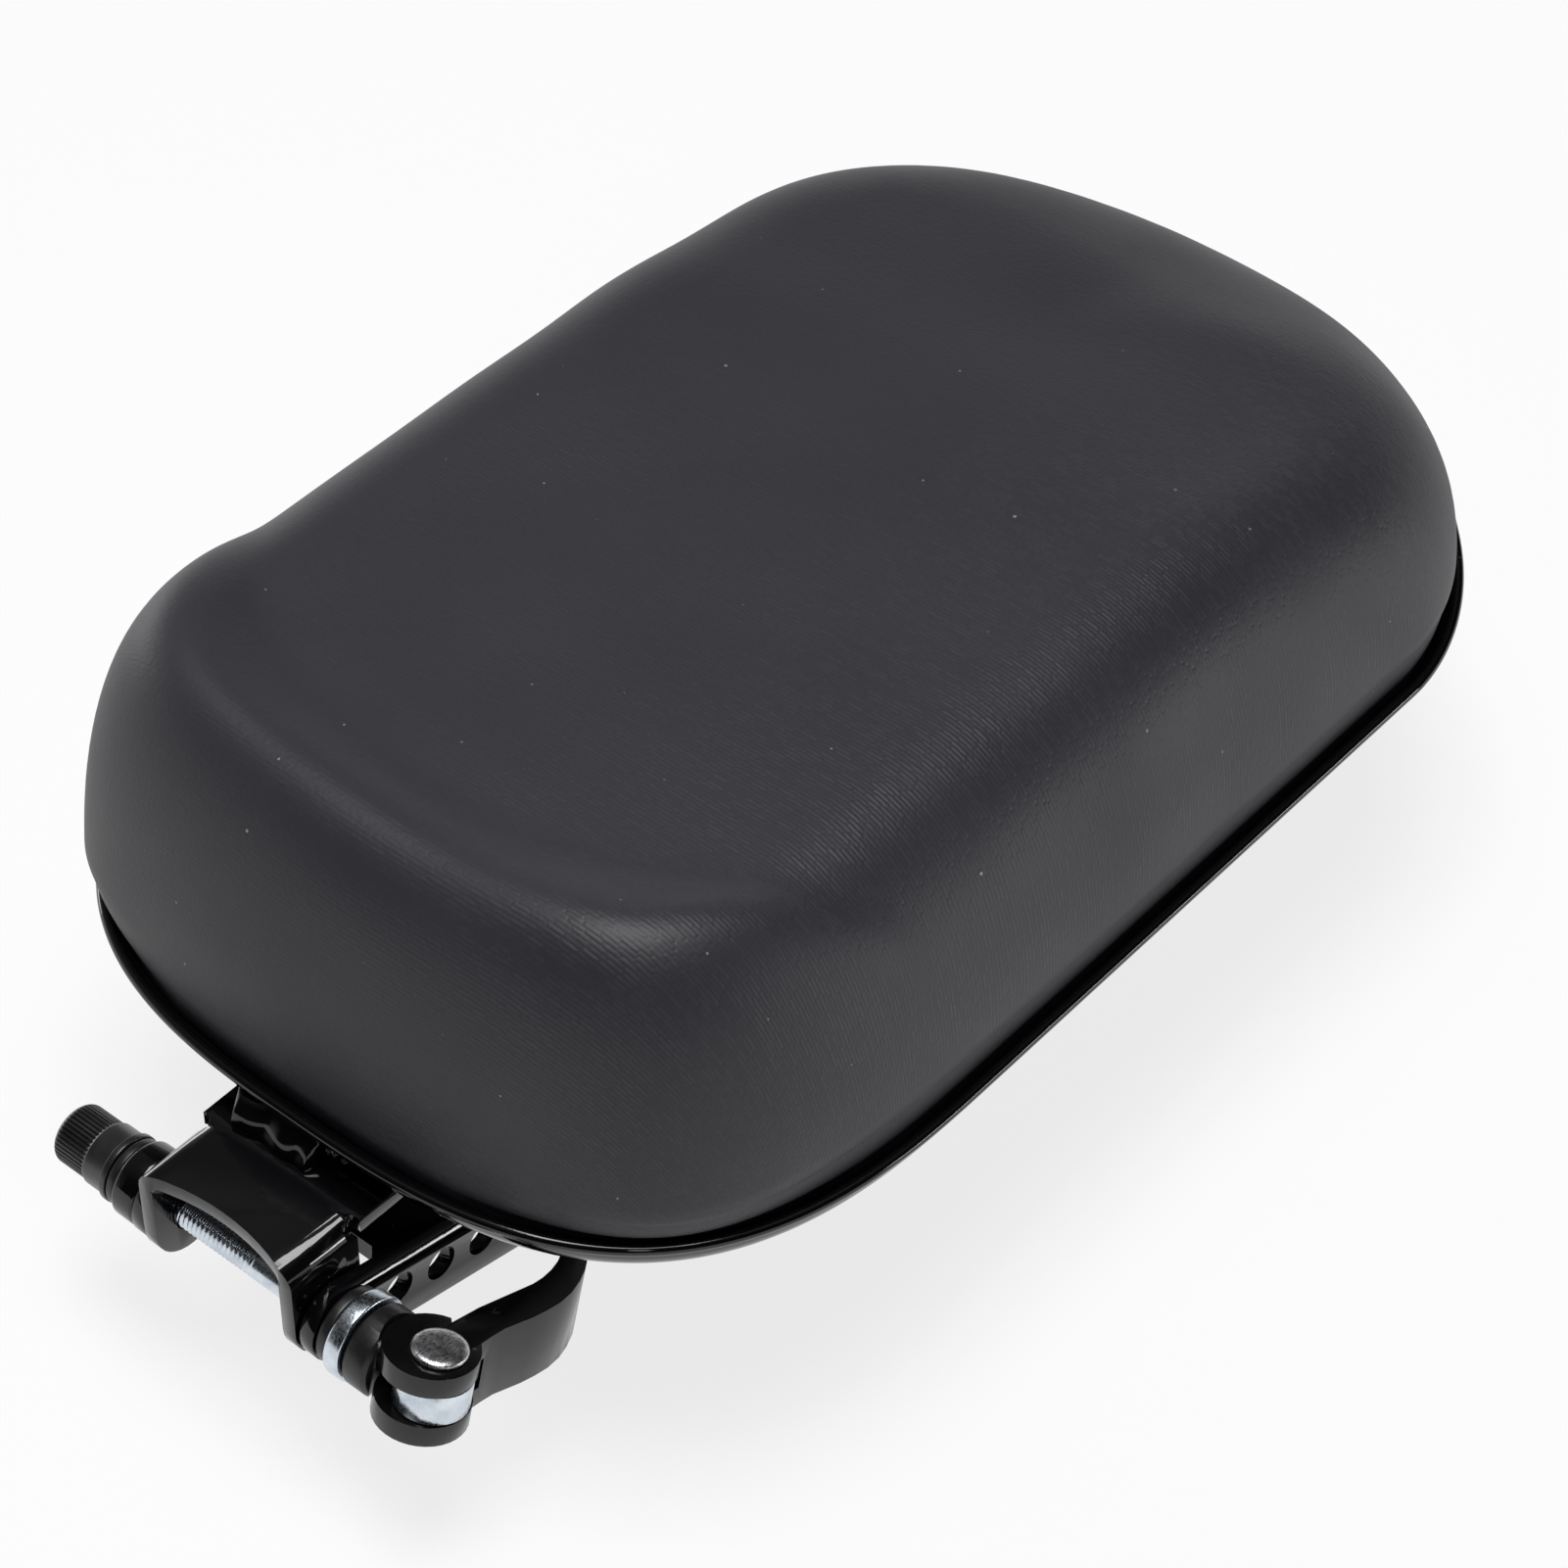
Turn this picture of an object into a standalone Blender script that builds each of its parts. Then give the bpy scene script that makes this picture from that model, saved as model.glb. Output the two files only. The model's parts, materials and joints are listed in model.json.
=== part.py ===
"""Front child bike seat: a padded seat in a pressed steel pan, welded to a folded clevis
that tilts on a quick release skewer between the arms of a perforated mounting channel.

Frame: metres, +X towards the quick release lever, +Y from the clamp towards the back of
the seat, +Z up, square to the pan's rim. The origin is on the underside of the channel's
web, where the bicycle's bracket sits.
"""
import bmesh
import bpy
import numpy as np
from math import asin, atan2, cos, degrees, pi, radians, sin, sqrt
from mathutils import Matrix, Vector

MM = 0.001

# Driving dimensions, in millimetres
CLEARANCE = 0.3            # left between pieces that touch

# Rim of the pan, seen from above
RIM_HALF_WIDTH = 82.0
RIM_FRONT_STRAIGHT = 55.5  # straight side, from the rim's centre to the clamp end's curve
RIM_REAR_STRAIGHT = 70.0
RIM_FRONT_DEPTH = 80.6     # length of the curved clamp end
RIM_REAR_DEPTH = 71.4
RIM_FRONT_POWER = 2.8      # superellipse power: squarer than an ellipse
RIM_REAR_POWER = 1.8

# Pan
PAN_DEPTH = 9.8            # from the lip's top to the underside
PAN_SHEET = 1.5
PAN_BEND = 7.6             # radius between wall and floor, outside
PAN_WALL = 0.4             # from the rim outwards to the middle of the wall's sheet
LIP_RADIUS = 1.1           # rolled edge

# Cushion
CUSHION_WIDEST = 8.0       # height above the lip where the side bulges most
CUSHION_SKIRT = 0.4        # height above the lip where the side leaves the pan
CUSHION_TUCK = 0.6         # room between the skirt and the pan's wall
CUSHION_SEAT = 51.5        # height of the seat above the lip
CUSHION_DISH = 1.5
DISH_HALF_WIDTH = 52.0
DISH_HALF_LENGTH = 90.0
CUSHION_REAR_FALL = 9.0    # how much lower the top is towards the back
FALL_START = 10.0          # behind the rim's centre
FALL_RUN = 90.0
CUSHION_BULGE = -1.7       # widest line against the rim, at the sides
CUSHION_BULGE_FRONT = -1.4
CUSHION_BULGE_REAR = -7.4
CUSHION_BULGE_FRONT_CORNER = 4.2
CUSHION_BULGE_REAR_CORNER = 2.4
SHOULDER = 28.2            # run of the rounded edge, at the sides
SHOULDER_FRONT = -3.7
SHOULDER_REAR = 45.6
SHOULDER_FRONT_CORNER = -7.9
SHOULDER_REAR_CORNER = -11.0
SHOULDER_INWARD_POWER = 0.87
SHOULDER_UPWARD_POWER = 1.06
CUSHION_NARROWEST = 0.2    # least width of the top's outline, as a share of the rim's
BOLSTER_RISE = 7.0         # raised roll at the clamp end
BOLSTER_RUN = 14.0
CREASE_BACK = 32.0         # from the front of the rim to the crease behind the bolster
CREASE_BOW = 0.0045        # the crease bends towards the back at its ends
CREASE_HOOK = 5.15e-7      # and more sharply where it runs out at the sides
CREASE_SOFTNESS = 3.0
SPINE_FRONT = -78.0        # ends of the line along the middle on which the top's rings close
SPINE_REAR = 22.0
SPINE_STEPS = (0.12, 0.26, 0.45, 0.7, 1.0)
HEM_SAG = 0.9              # how far the rolled hem bulges into the pan's bend

# Board under the cushion
BOARD_THICKNESS = 5.0
BOARD_INSET = 12.0         # from the rim

# Screws that hold the board in the pan
SCREW_X = 46.0
SCREW_FRONT_Y = -58.0
SCREW_REAR_Y = 72.0
SCREW_DIAMETER = 5.0
SCREW_HEAD_DIAMETER = 9.5
SCREW_HEAD_HEIGHT = 2.6
SCREW_SOCKET = 3.0         # hexagon socket across its flats
WASHER_DIAMETER = 12.0
WASHER_THICKNESS = 1.0
TEE_FLANGE_DIAMETER = 15.0
TEE_FLANGE_THICKNESS = 1.0
TEE_BARREL_DIAMETER = 7.0

# Pivot of the seat, measured from the rim's centre
PIVOT_BELOW_RIM = 26.2
PIVOT_AHEAD_OF_RIM = 12.0  # ahead of the rim's front edge
CHANNEL_TILT = 15.0        # degrees that the channel falls towards the back

# Clevis welded under the pan
PLATE = 3.0                # steel plate of clevis and channel
CLEVIS_WIDTH = 35.6        # over its two cheeks
CLEVIS_LUG_RADIUS = 7.8
CLEVIS_BEND = 4.2          # outside bend radius
CLEVIS_ARC = 2.6           # depth of the hollow front edge
RELIEF_RADIUS = 1.5        # round notch at the end of each fold
RELIEF_INSET = 0.8         # from the tongue's edge to the notch's centre
RELIEF_BACK = 6.9          # from the pivot to the notch's centre
TONGUE_LENGTH = 78.0       # from the lugs to its end under the pan
TONGUE_WIDTH = 36.4
TONGUE_CORNER = 6.0

# Mounting channel
ARM_HEIGHT = 15.0
ARM_GAP = 0.5              # between cheek and arm
CHANNEL_LENGTH = 110.0     # from the pivot to the back end
CHANNEL_BEND = 4.0
WEB_START = 10.5           # from the pivot to the web's front edge
HOLE_DIAMETER = 6.6
HOLE_FIRST = 13.4
HOLE_PITCH = 10.5
HOLE_END_MARGIN = 8.0      # metal left behind the last hole
CHANNEL_CORNER = 3.0       # low corner of each arm's back end
WINDOW_CORNER = 2.0
MOUNT_REACH = 60.0         # from the pivot to the mounting face

# Skewer and what it carries
ROD_DIAMETER = 6.0
ROD_HOLE = 6.6
SPACER_RADIUS = 7.3
LEFT_SPACER_LENGTH = 5.3
RIGHT_SPACER_LENGTH = 2.2
NUT_WASHER_RADIUS = 6.5
NUT_WASHER_LENGTH = 1.6
NUT_FLANGE_RADIUS = 6.6
NUT_FLANGE_LENGTH = 1.3
NUT_COLLAR_RADIUS = 6.1
NUT_COLLAR_LENGTH = 4.4
NUT_RIB_RADIUS = 5.7
NUT_RIB_LENGTH = 8.4
NUT_RIBS = 32
NUT_RIB_DEPTH = 0.35
ZINC_WASHER_RADIUS = 8.2
ZINC_WASHER_LENGTH = 3.3
CUP_RADIUS = 7.8
CUP_LENGTH = 5.4

# Lever
CAM_RADIUS = 8.3           # the two discs of the fork
CAM_OFFSET = 1.7           # the discs' centre lies this far from the pin, towards the cup
CAM_CLEARANCE = 0.5        # in the cup's hollow
CAM_SEAT = 3.4             # from the cup's back to the bottom of its hollow
FORK_HEIGHT = 14.4
FORK_SLOT = 6.4
SLOT_END = 8.6             # from the pin to the end of the slot
DRUM_RADIUS = 6.6
PIN_SHANK_DIAMETER = 5.0
PIN_HEAD_DIAMETER = 9.8
PIN_HEAD_HEIGHT = 1.2
# Centre line of the lever's arm from the pin, and half its width at each point
LEVER_LINE = [(-0.6, 0.0), (-0.3, 8.0), (-0.2, 13.0), (0.9, 20.0), (1.3, 26.5), (-0.4, 33.0),
              (-4.4, 39.5), (-10.0, 47.5), (-12.6, 51.5)]
LEVER_HALF_WIDTH = [4.2, 3.3, 3.2, 3.3, 3.0, 2.5, 2.1, 1.9, 1.7]
ARM_ROOT = 7.0             # from the pin, where the arm leaves the cam discs
SPACER_EDGE = 0.7          # chamfer
THIN_EDGE = 0.4            # chamfer of the zinc washer and the pin's heads
# Shallow oval recess on the lever's upper face
RECESS_ACROSS = 4.0
RECESS_ALONG = 7.4
RECESS_CENTRE = (-1.2, 12.4)
RECESS_TURN = -20.0        # degrees
RECESS_DEPTH = 0.6

# Welds
WELD_FRONT_LENGTH = 19.0
WELD_FRONT_X = -4.0
WELD_FRONT_LEG = 2.2       # from the rim's front edge to the bead's toe
WELD_SIDE_LENGTH = 22.0
WELD_SIDE_LEG = 3.0

# Places that follow from them
rim_front = -(RIM_FRONT_STRAIGHT + RIM_FRONT_DEPTH)
pivot_in_pan = Vector((0, rim_front - PIVOT_AHEAD_OF_RIM, -PIVOT_BELOW_RIM))
pan_wall_outside = PAN_WALL - PAN_SHEET / 2
pan_wall_inside = pan_wall_outside - PAN_SHEET
pan_floor_top = -PAN_DEPTH + PAN_SHEET
board_low = pan_floor_top + CLEARANCE
board_top = board_low + BOARD_THICKNESS
web_underside = ARM_HEIGHT / 2 - PLATE
tilt = radians(CHANNEL_TILT)
channel_turn = Matrix.Rotation(-tilt, 4, "X")
pivot_world = -(channel_turn @ Vector((0, MOUNT_REACH, web_underside)))
cheek_outside = CLEVIS_WIDTH / 2
arm_inside = cheek_outside + ARM_GAP
arm_outside = arm_inside + PLATE
zinc_start = arm_outside + RIGHT_SPACER_LENGTH + 2 * CLEARANCE
cup_start = zinc_start + ZINC_WASHER_LENGTH + CLEARANCE
cam_centre_x = cup_start + CAM_SEAT + CAM_CLEARANCE + CAM_RADIUS
pin_x = cam_centre_x + CAM_OFFSET
nut_washer_start = arm_outside + LEFT_SPACER_LENGTH + 2 * CLEARANCE
nut_start = nut_washer_start + NUT_WASHER_LENGTH + CLEARANCE
nut_length = NUT_FLANGE_LENGTH + NUT_COLLAR_LENGTH + NUT_RIB_LENGTH


def clear_scene():
    """Take every object out of the open file."""
    for old in list(bpy.data.objects):
        bpy.data.objects.remove(old, do_unlink=True)


def make_material(name, colour, roughness, metallic):
    """A plain Principled BSDF."""
    made = bpy.data.materials.new(name)
    made.use_nodes = True
    shader = made.node_tree.nodes["Principled BSDF"]
    shader.inputs["Base Color"].default_value = (*colour, 1)
    shader.inputs["Roughness"].default_value = roughness
    shader.inputs["Metallic"].default_value = metallic
    made.diffuse_color = (*colour, 1)
    return made


def make_empty(name, place, turn=0.0, parent=None):
    """An empty that carries the pieces of one body; turn is about X."""
    empty = bpy.data.objects.new(name, None)
    bpy.context.collection.objects.link(empty)
    empty.location = Vector(place) * MM
    empty.rotation_euler = (turn, 0, 0)
    empty.parent = parent
    return empty


def add_piece(name, points, faces, material, parent, place=(0, 0, 0)):
    """A mesh object from points in millimetres, set on its parent empty."""
    mesh = bpy.data.meshes.new(name)
    mesh.from_pydata([tuple(float(c) * MM for c in p) for p in points], [], [tuple(f) for f in faces])
    work = bmesh.new()
    work.from_mesh(mesh)
    bmesh.ops.remove_doubles(work, verts=work.verts, dist=1e-7)
    bmesh.ops.recalc_face_normals(work, faces=work.faces)
    work.to_mesh(mesh)
    work.free()
    mesh.shade_smooth()
    mesh.set_sharp_from_angle(angle=radians(32))
    piece = bpy.data.objects.new(name, mesh)
    bpy.context.collection.objects.link(piece)
    piece.location = Vector(place) * MM
    piece.parent = parent
    if material:
        piece.data.materials.append(material)
    return piece


def cut(piece, tool, operation="DIFFERENCE"):
    """Apply a Boolean to the piece and remove the tool. Both have the same parent."""
    bpy.context.view_layer.update()
    step = piece.modifiers.new(operation.lower(), "BOOLEAN")
    step.operation = operation
    step.solver = "EXACT"
    step.object = tool
    depsgraph = bpy.context.evaluated_depsgraph_get()
    mesh = bpy.data.meshes.new_from_object(piece.evaluated_get(depsgraph), depsgraph=depsgraph)
    piece.modifiers.clear()
    materials = list(piece.data.materials)
    piece.data = mesh
    mesh.name = piece.name
    mesh.materials.clear()
    for used in materials:
        mesh.materials.append(used)
    mesh.polygons.foreach_set("material_index", [0] * len(mesh.polygons))
    mesh.shade_smooth()
    mesh.set_sharp_from_angle(angle=radians(32))
    bpy.data.objects.remove(tool, do_unlink=True)
    return piece


def prism(outline, low, high, axis="Z"):
    """Points and faces of a flat outline carried from low to high along an axis."""
    count = len(outline)
    order = {"X": (2, 0, 1), "Y": (0, 2, 1), "Z": (0, 1, 2)}[axis]
    points = []
    for level in (low, high):
        for a, b in outline:
            source = (a, b, level)
            points.append(tuple(source[k] for k in order))
    faces = [tuple(range(count)), tuple(range(2 * count - 1, count - 1, -1))]
    faces += [(i, (i + 1) % count, count + (i + 1) % count, count + i) for i in range(count)]
    return points, faces


def circle(centre, radius, segments=32, start=0.0):
    """Points of a circle in the plane."""
    return [(centre[0] + radius * cos(start + 2 * pi * k / segments),
             centre[1] + radius * sin(start + 2 * pi * k / segments)) for k in range(segments)]


def arc(centre, radius, first, last, steps):
    """Points of an arc between two angles in degrees."""
    angles = [radians(first + (last - first) * k / steps) for k in range(steps + 1)]
    return [(centre[0] + radius * cos(a), centre[1] + radius * sin(a)) for a in angles]


def turned(profile, bore, segments=36):
    """A turned piece about X: an outer profile of (x, radius), with a plain bore or none."""
    angles = [2 * pi * k / segments for k in range(segments)]
    ring = [(x, r) for x, r in profile]
    if bore > 0:
        ring += [(profile[-1][0], bore), (profile[0][0], bore)]
    points = [(x, r * cos(a), r * sin(a)) for x, r in ring for a in angles]
    faces = []
    last = len(ring) if bore > 0 else len(ring) - 1
    for i in range(last):
        j = (i + 1) % len(ring)
        for k in range(segments):
            n = (k + 1) % segments
            faces.append((i * segments + k, i * segments + n, j * segments + n, j * segments + k))
    if bore <= 0:
        faces.append(tuple(range(segments)))
        faces.append(tuple(range(len(points) - 1, len(points) - segments - 1, -1)))
    return points, faces


def upright(profile, segments=32):
    """A turned solid about Z from (radius, z) points, closed at both ends."""
    points, faces = turned([(z, r) for r, z in profile], 0, segments)
    return [(y, z, x) for x, y, z in points], faces


def rim_outline(count):
    """Points and outward directions along the rim, evenly spaced, from the front's middle.

    Each end is a superellipse: the sum of |x / width| and |y / depth|, each to a power,
    is 1. A straight side joins the two ends."""
    t = np.linspace(0, pi / 2, 400)
    front = np.stack([RIM_HALF_WIDTH * np.cos(t) ** (2 / RIM_FRONT_POWER),
                      -RIM_FRONT_STRAIGHT - RIM_FRONT_DEPTH * np.sin(t) ** (2 / RIM_FRONT_POWER)], 1)[::-1]
    rear = np.stack([RIM_HALF_WIDTH * np.cos(t) ** (2 / RIM_REAR_POWER),
                     RIM_REAR_STRAIGHT + RIM_REAR_DEPTH * np.sin(t) ** (2 / RIM_REAR_POWER)], 1)
    half = np.concatenate([front, rear])
    steps = np.linalg.norm(np.diff(half, axis=0), axis=1)
    along = np.concatenate([[0], np.cumsum(steps)])
    wanted = np.linspace(0, along[-1], count // 2 + 1)
    side = np.stack([np.interp(wanted, along, half[:, 0]), np.interp(wanted, along, half[:, 1])], 1)
    side[0, 0] = 0
    side[-1, 0] = 0
    ring = np.concatenate([side, side[-2:0:-1] * [-1, 1]])
    ahead = np.roll(ring, -1, 0) - np.roll(ring, 1, 0)
    ahead /= np.linalg.norm(ahead, axis=1)[:, None]
    return ring, np.stack([ahead[:, 1], -ahead[:, 0]], 1)


def pan_solid(count=84):
    """The pan as one closed sheet: rolled lip, curved wall and flat floor."""
    ring, outward = rim_outline(count)
    lip = arc((0, -LIP_RADIUS), LIP_RADIUS, 150, -75, 4)
    floor_centre = -PAN_DEPTH + PAN_BEND
    outer = lip + arc((pan_wall_outside - PAN_BEND, floor_centre), PAN_BEND, 0, -90, 5)
    inner = arc((pan_wall_outside - PAN_BEND, floor_centre), PAN_BEND - PAN_SHEET, -90, 0, 3)
    inner += [(pan_wall_inside, -LIP_RADIUS)]
    points = [(*(ring[i] + outward[i] * d), z) for d, z in outer + inner for i in range(count)]
    faces = []
    total = len(outer) + len(inner)
    floor_edge = len(outer) - 1
    for r in range(total):
        if r == floor_edge:
            continue
        s = (r + 1) % total
        for i in range(count):
            n = (i + 1) % count
            faces.append((r * count + i, r * count + n, s * count + n, s * count + i))
    for r in (floor_edge, floor_edge + 1):
        faces += across(r * count, count)
    return points, faces


def across(first, count):
    """Faces that close a ring symmetrical about x = 0, one strip for each pair of points."""
    half = count // 2
    faces = []
    for i in range(half):
        quad = [first + i, first + i + 1, first + (count - i - 1) % count, first + (count - i) % count]
        faces.append(tuple(dict.fromkeys(quad)))
    return faces


def top_height(x, y):
    """Height of the cushion's top: seat, less its dish and the fall to the back, plus the bolster."""
    fall = np.clip((y - FALL_START) / FALL_RUN, 0, 1)
    level = CUSHION_SEAT - CUSHION_REAR_FALL * fall ** 2 * (3 - 2 * fall)
    dish = np.clip(1 - (x / DISH_HALF_WIDTH) ** 2, 0, 1) * np.clip(1 - (y / DISH_HALF_LENGTH) ** 2, 0, 1)
    level = level - CUSHION_DISH * dish
    crease = rim_front + CREASE_BACK + CREASE_BOW * x ** 2 + CREASE_HOOK * x ** 4
    ahead = CREASE_SOFTNESS * np.log1p(np.exp((crease - y) / CREASE_SOFTNESS))
    return level + BOLSTER_RISE * np.tanh(ahead / BOLSTER_RUN)


def keep_side(x, rim_x):
    """Keep a point on its own side of the middle where the long slope at the back narrows.

    x is taken as a share of the rim's x, and the share bends smoothly up to a floor."""
    on_side = np.abs(rim_x) > 1e-6
    share = np.divide(x, rim_x, out=np.ones_like(x), where=on_side) - CUSHION_NARROWEST
    return rim_x * (CUSHION_NARROWEST + (share + np.sqrt(share ** 2 + 0.03)) / 2)


def cushion_solid(count=64):
    """The cushion: skirt, rounded shoulder, and a top whose rings close on the middle line."""
    ring, outward = rim_outline(count)
    front = np.clip(-outward[:, 1], 0, 1) ** 2
    rear = np.clip(outward[:, 1], 0, 1) ** 2
    front_corner = 4 * front * outward[:, 0] ** 2
    rear_corner = 4 * rear * outward[:, 0] ** 2
    widest = (CUSHION_BULGE + CUSHION_BULGE_FRONT * front + CUSHION_BULGE_REAR * rear
              + CUSHION_BULGE_FRONT_CORNER * front_corner + CUSHION_BULGE_REAR_CORNER * rear_corner)
    run = (SHOULDER + SHOULDER_FRONT * front + SHOULDER_REAR * rear
           + SHOULDER_FRONT_CORNER * front_corner + SHOULDER_REAR_CORNER * rear_corner)
    # Pocket over the board, then the rolled hem that lies in the pan's bend
    tuck = np.minimum(widest, pan_wall_inside - CUSHION_TUCK)
    hem = pan_wall_inside - CUSHION_TUCK - (PAN_BEND - PAN_SHEET)
    hem_low = pan_floor_top + CLEARANCE
    hem_top = PAN_BEND - PAN_DEPTH
    pocket = CLEARANCE - BOARD_INSET
    skirt = [(pocket, board_top + CLEARANCE), (pocket, hem_low), (hem, hem_low),
             ((hem + pan_wall_inside - CUSHION_TUCK) / 2 - HEM_SAG, (hem_low + hem_top) / 2 - HEM_SAG),
             (0, hem_top)]
    levels = []
    for inset, height in skirt:
        edge = ring + outward * np.minimum(tuck, inset)[:, None]
        levels.append(np.column_stack([edge, np.full(count, height)]))
    for a in (90, 60, 30):
        inset = widest - (widest - tuck) * (1 - cos(radians(a)))
        height = CUSHION_WIDEST - (CUSHION_WIDEST - CUSHION_SKIRT) * sin(radians(a))
        levels.append(np.column_stack([ring + outward * inset[:, None], np.full(count, height)]))
    for a in (0, 15, 30, 42, 54, 66, 78, 90):
        inset = widest - run * (1 - max(cos(radians(a)), 0) ** SHOULDER_INWARD_POWER)
        place = ring + outward * inset[:, None]
        place[:, 0] = keep_side(place[:, 0], ring[:, 0])
        top = top_height(place[:, 0], place[:, 1])
        height = CUSHION_WIDEST + (top - CUSHION_WIDEST) * sin(radians(a)) ** SHOULDER_UPWARD_POWER
        levels.append(np.column_stack([place, height]))
    # Each point of the top's edge goes to its share of a line along the middle
    edge = levels[-1][:, :2]
    half = count // 2
    along = np.concatenate([[0], np.cumsum(np.linalg.norm(np.diff(edge[:half + 1], axis=0), axis=1))])
    share = along / along[-1]
    share = np.concatenate([share, share[-2:0:-1]])
    middle = SPINE_FRONT + (SPINE_REAR - SPINE_FRONT) * share
    for t in SPINE_STEPS:
        x = edge[:, 0] * (1 - t)
        y = edge[:, 1] * (1 - t) + middle * t
        levels.append(np.column_stack([x, y, top_height(x, y)]))
    points = [tuple(p) for level in levels for p in level]
    faces = across(0, count)
    for r in range(len(levels) - 1):
        for i in range(count):
            n = (i + 1) % count
            faces.append((r * count + i, r * count + n, (r + 1) * count + n, (r + 1) * count + i))
    return points, faces


def board_solid(count=48):
    """The board that the cover is stapled to, a flat piece that follows the rim."""
    ring, outward = rim_outline(count)
    outline = ring - outward * BOARD_INSET
    return prism([tuple(p) for p in outline], board_low, board_top)


def folded_section(width, depth, bend, steps=5):
    """Cross-section of a sheet folded down at both sides: web on top at height 0."""
    outside = width / 2
    inner_bend = bend - PLATE
    right = [(outside, -depth)] + arc((outside - bend, -bend), bend, 0, 90, steps)
    left = [(-x, z) for x, z in reversed(right)]
    inner_left = [(-(outside - PLATE), -depth)]
    inner_left += [(-x, z) for x, z in arc((outside - bend, -bend), inner_bend, 0, 90, steps)]
    inner_right = [(-x, z) for x, z in reversed(inner_left)]
    return right + left + inner_left + inner_right


def clevis(material, parent):
    """Folded clevis: web, two lugs for the skewer, and a tongue that runs under the pan.

    Its mesh has the pivot as origin and stands level with the pan."""
    top = PIVOT_BELOW_RIM - PAN_DEPTH - CLEARANCE
    depth = top + CLEVIS_LUG_RADIUS + 1
    section = [(x, z + top) for x, z in folded_section(CLEVIS_WIDTH, depth, CLEVIS_BEND)]
    front = -CLEVIS_LUG_RADIUS
    block = prism(section, front - 1, CLEVIS_LUG_RADIUS + 6, "Y")
    body = add_piece("inner_bracket", *block, material, parent)
    lug = [(front, top + 1)] + arc((0, 0), CLEVIS_LUG_RADIUS, 180, 360, 16) + [(CLEVIS_LUG_RADIUS, top + 1)]
    wide = CLEVIS_WIDTH
    lug_tool = add_piece("lug_outline", *prism(lug, -wide, wide, "X"), None, parent)
    cut(body, lug_tool, "INTERSECT")
    half = TONGUE_WIDTH / 2
    back = CLEVIS_LUG_RADIUS + TONGUE_LENGTH
    start = RELIEF_BACK
    bevel = TONGUE_CORNER
    tongue = [(-half, start), (half, start), (half, back - bevel), (half - bevel, back), (bevel - half, back),
              (-half, back - bevel)]
    strip = add_piece("tongue", *prism(tongue, top - PLATE, top), None, parent)
    cut(body, strip, "UNION")
    # Hollow front edge: a wide arc through the web
    chord = cheek_outside - CLEVIS_BEND * 0.6
    arc_radius = (chord ** 2 + CLEVIS_ARC ** 2) / (2 * CLEVIS_ARC)
    mouth = circle((0, front + CLEVIS_ARC - arc_radius), arc_radius, 96)
    below = top - CLEVIS_BEND
    cut(body, add_piece("mouth", *prism(mouth, below, top + 2), None, parent))
    for side in (-1, 1):
        notch = circle((side * (half - RELIEF_INSET), RELIEF_BACK), RELIEF_RADIUS, 20)
        cut(body, add_piece("relief", *prism(notch, below, top + 2), None, parent))
    bore = circle((0, 0), ROD_HOLE / 2, 28)
    cut(body, add_piece("bore", *prism(bore, -wide, wide, "X"), None, parent))
    return body


def channel(material, parent):
    """Folded and perforated channel. Its mesh has the pivot as origin and runs along +Y."""
    half = ARM_HEIGHT / 2
    width = 2 * arm_outside
    section = [(x, z + half) for x, z in folded_section(width, ARM_HEIGHT, CHANNEL_BEND)]
    body = add_piece("outer_channel", *prism(section, -half - 1, CHANNEL_LENGTH, "Y"), material, parent)
    back = CHANNEL_LENGTH
    corner = CHANNEL_CORNER
    side = arc((0, 0), half, 90, 270, 16)
    side += [(back - corner, -half)] + arc((back - corner, corner - half), corner, -80, 0, 4)
    side += [(back, half + 1), (0, half + 1)]
    side_tool = add_piece("side_outline", *prism(side, -width, width, "X"), None, parent)
    cut(body, side_tool, "INTERSECT")
    bevel = WINDOW_CORNER
    window = [(-arm_inside, -half - 3), (arm_inside, -half - 3), (arm_inside, WEB_START - bevel),
              (arm_inside - bevel, WEB_START), (bevel - arm_inside, WEB_START), (-arm_inside, WEB_START - bevel)]
    cut(body, add_piece("window", *prism(window, -half - 3, half + 3), None, parent))
    for shape in channel_holes():
        cut(body, add_piece("holes", *prism(shape, -width, width, "X"), None, parent))
    return body


def channel_holes():
    """Circles of the rod's hole and of the row of mounting holes, along the arms."""
    count = int((CHANNEL_LENGTH - HOLE_END_MARGIN - HOLE_FIRST) / HOLE_PITCH) + 1
    shapes = [circle((0, 0), ROD_HOLE / 2, 24)]
    shapes += [circle((HOLE_FIRST + HOLE_PITCH * k, 0), HOLE_DIAMETER / 2, 20) for k in range(count)]
    return shapes


def weld_bead(length, back, face, lumps, seed):
    """A lumpy fillet along X. Its section is a fixed back and a face that swells and dips.

    Both are (outwards, upwards) points from the section's corner; outwards is -Y."""
    rng = np.random.default_rng(seed)
    stations = lumps + 1
    swell = 1 + 0.12 * rng.uniform(-1, 1, stations)
    swell[0] *= 0.6
    swell[-1] *= 0.6
    count = len(back) + len(face)
    points = []
    for k in range(stations):
        x = length * (k / lumps - 0.5)
        points += [(x, -a, b) for a, b in back]
        points += [(x, -back[-1][0] - (a - back[-1][0]) * swell[k], b) for a, b in face]
    faces = [tuple(range(count)), tuple(range(len(points) - 1, len(points) - count - 1, -1))]
    for k in range(lumps):
        for i in range(count):
            j = (i + 1) % count
            faces.append((k * count + i, k * count + j, (k + 1) * count + j, (k + 1) * count + i))
    return points, faces


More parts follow.
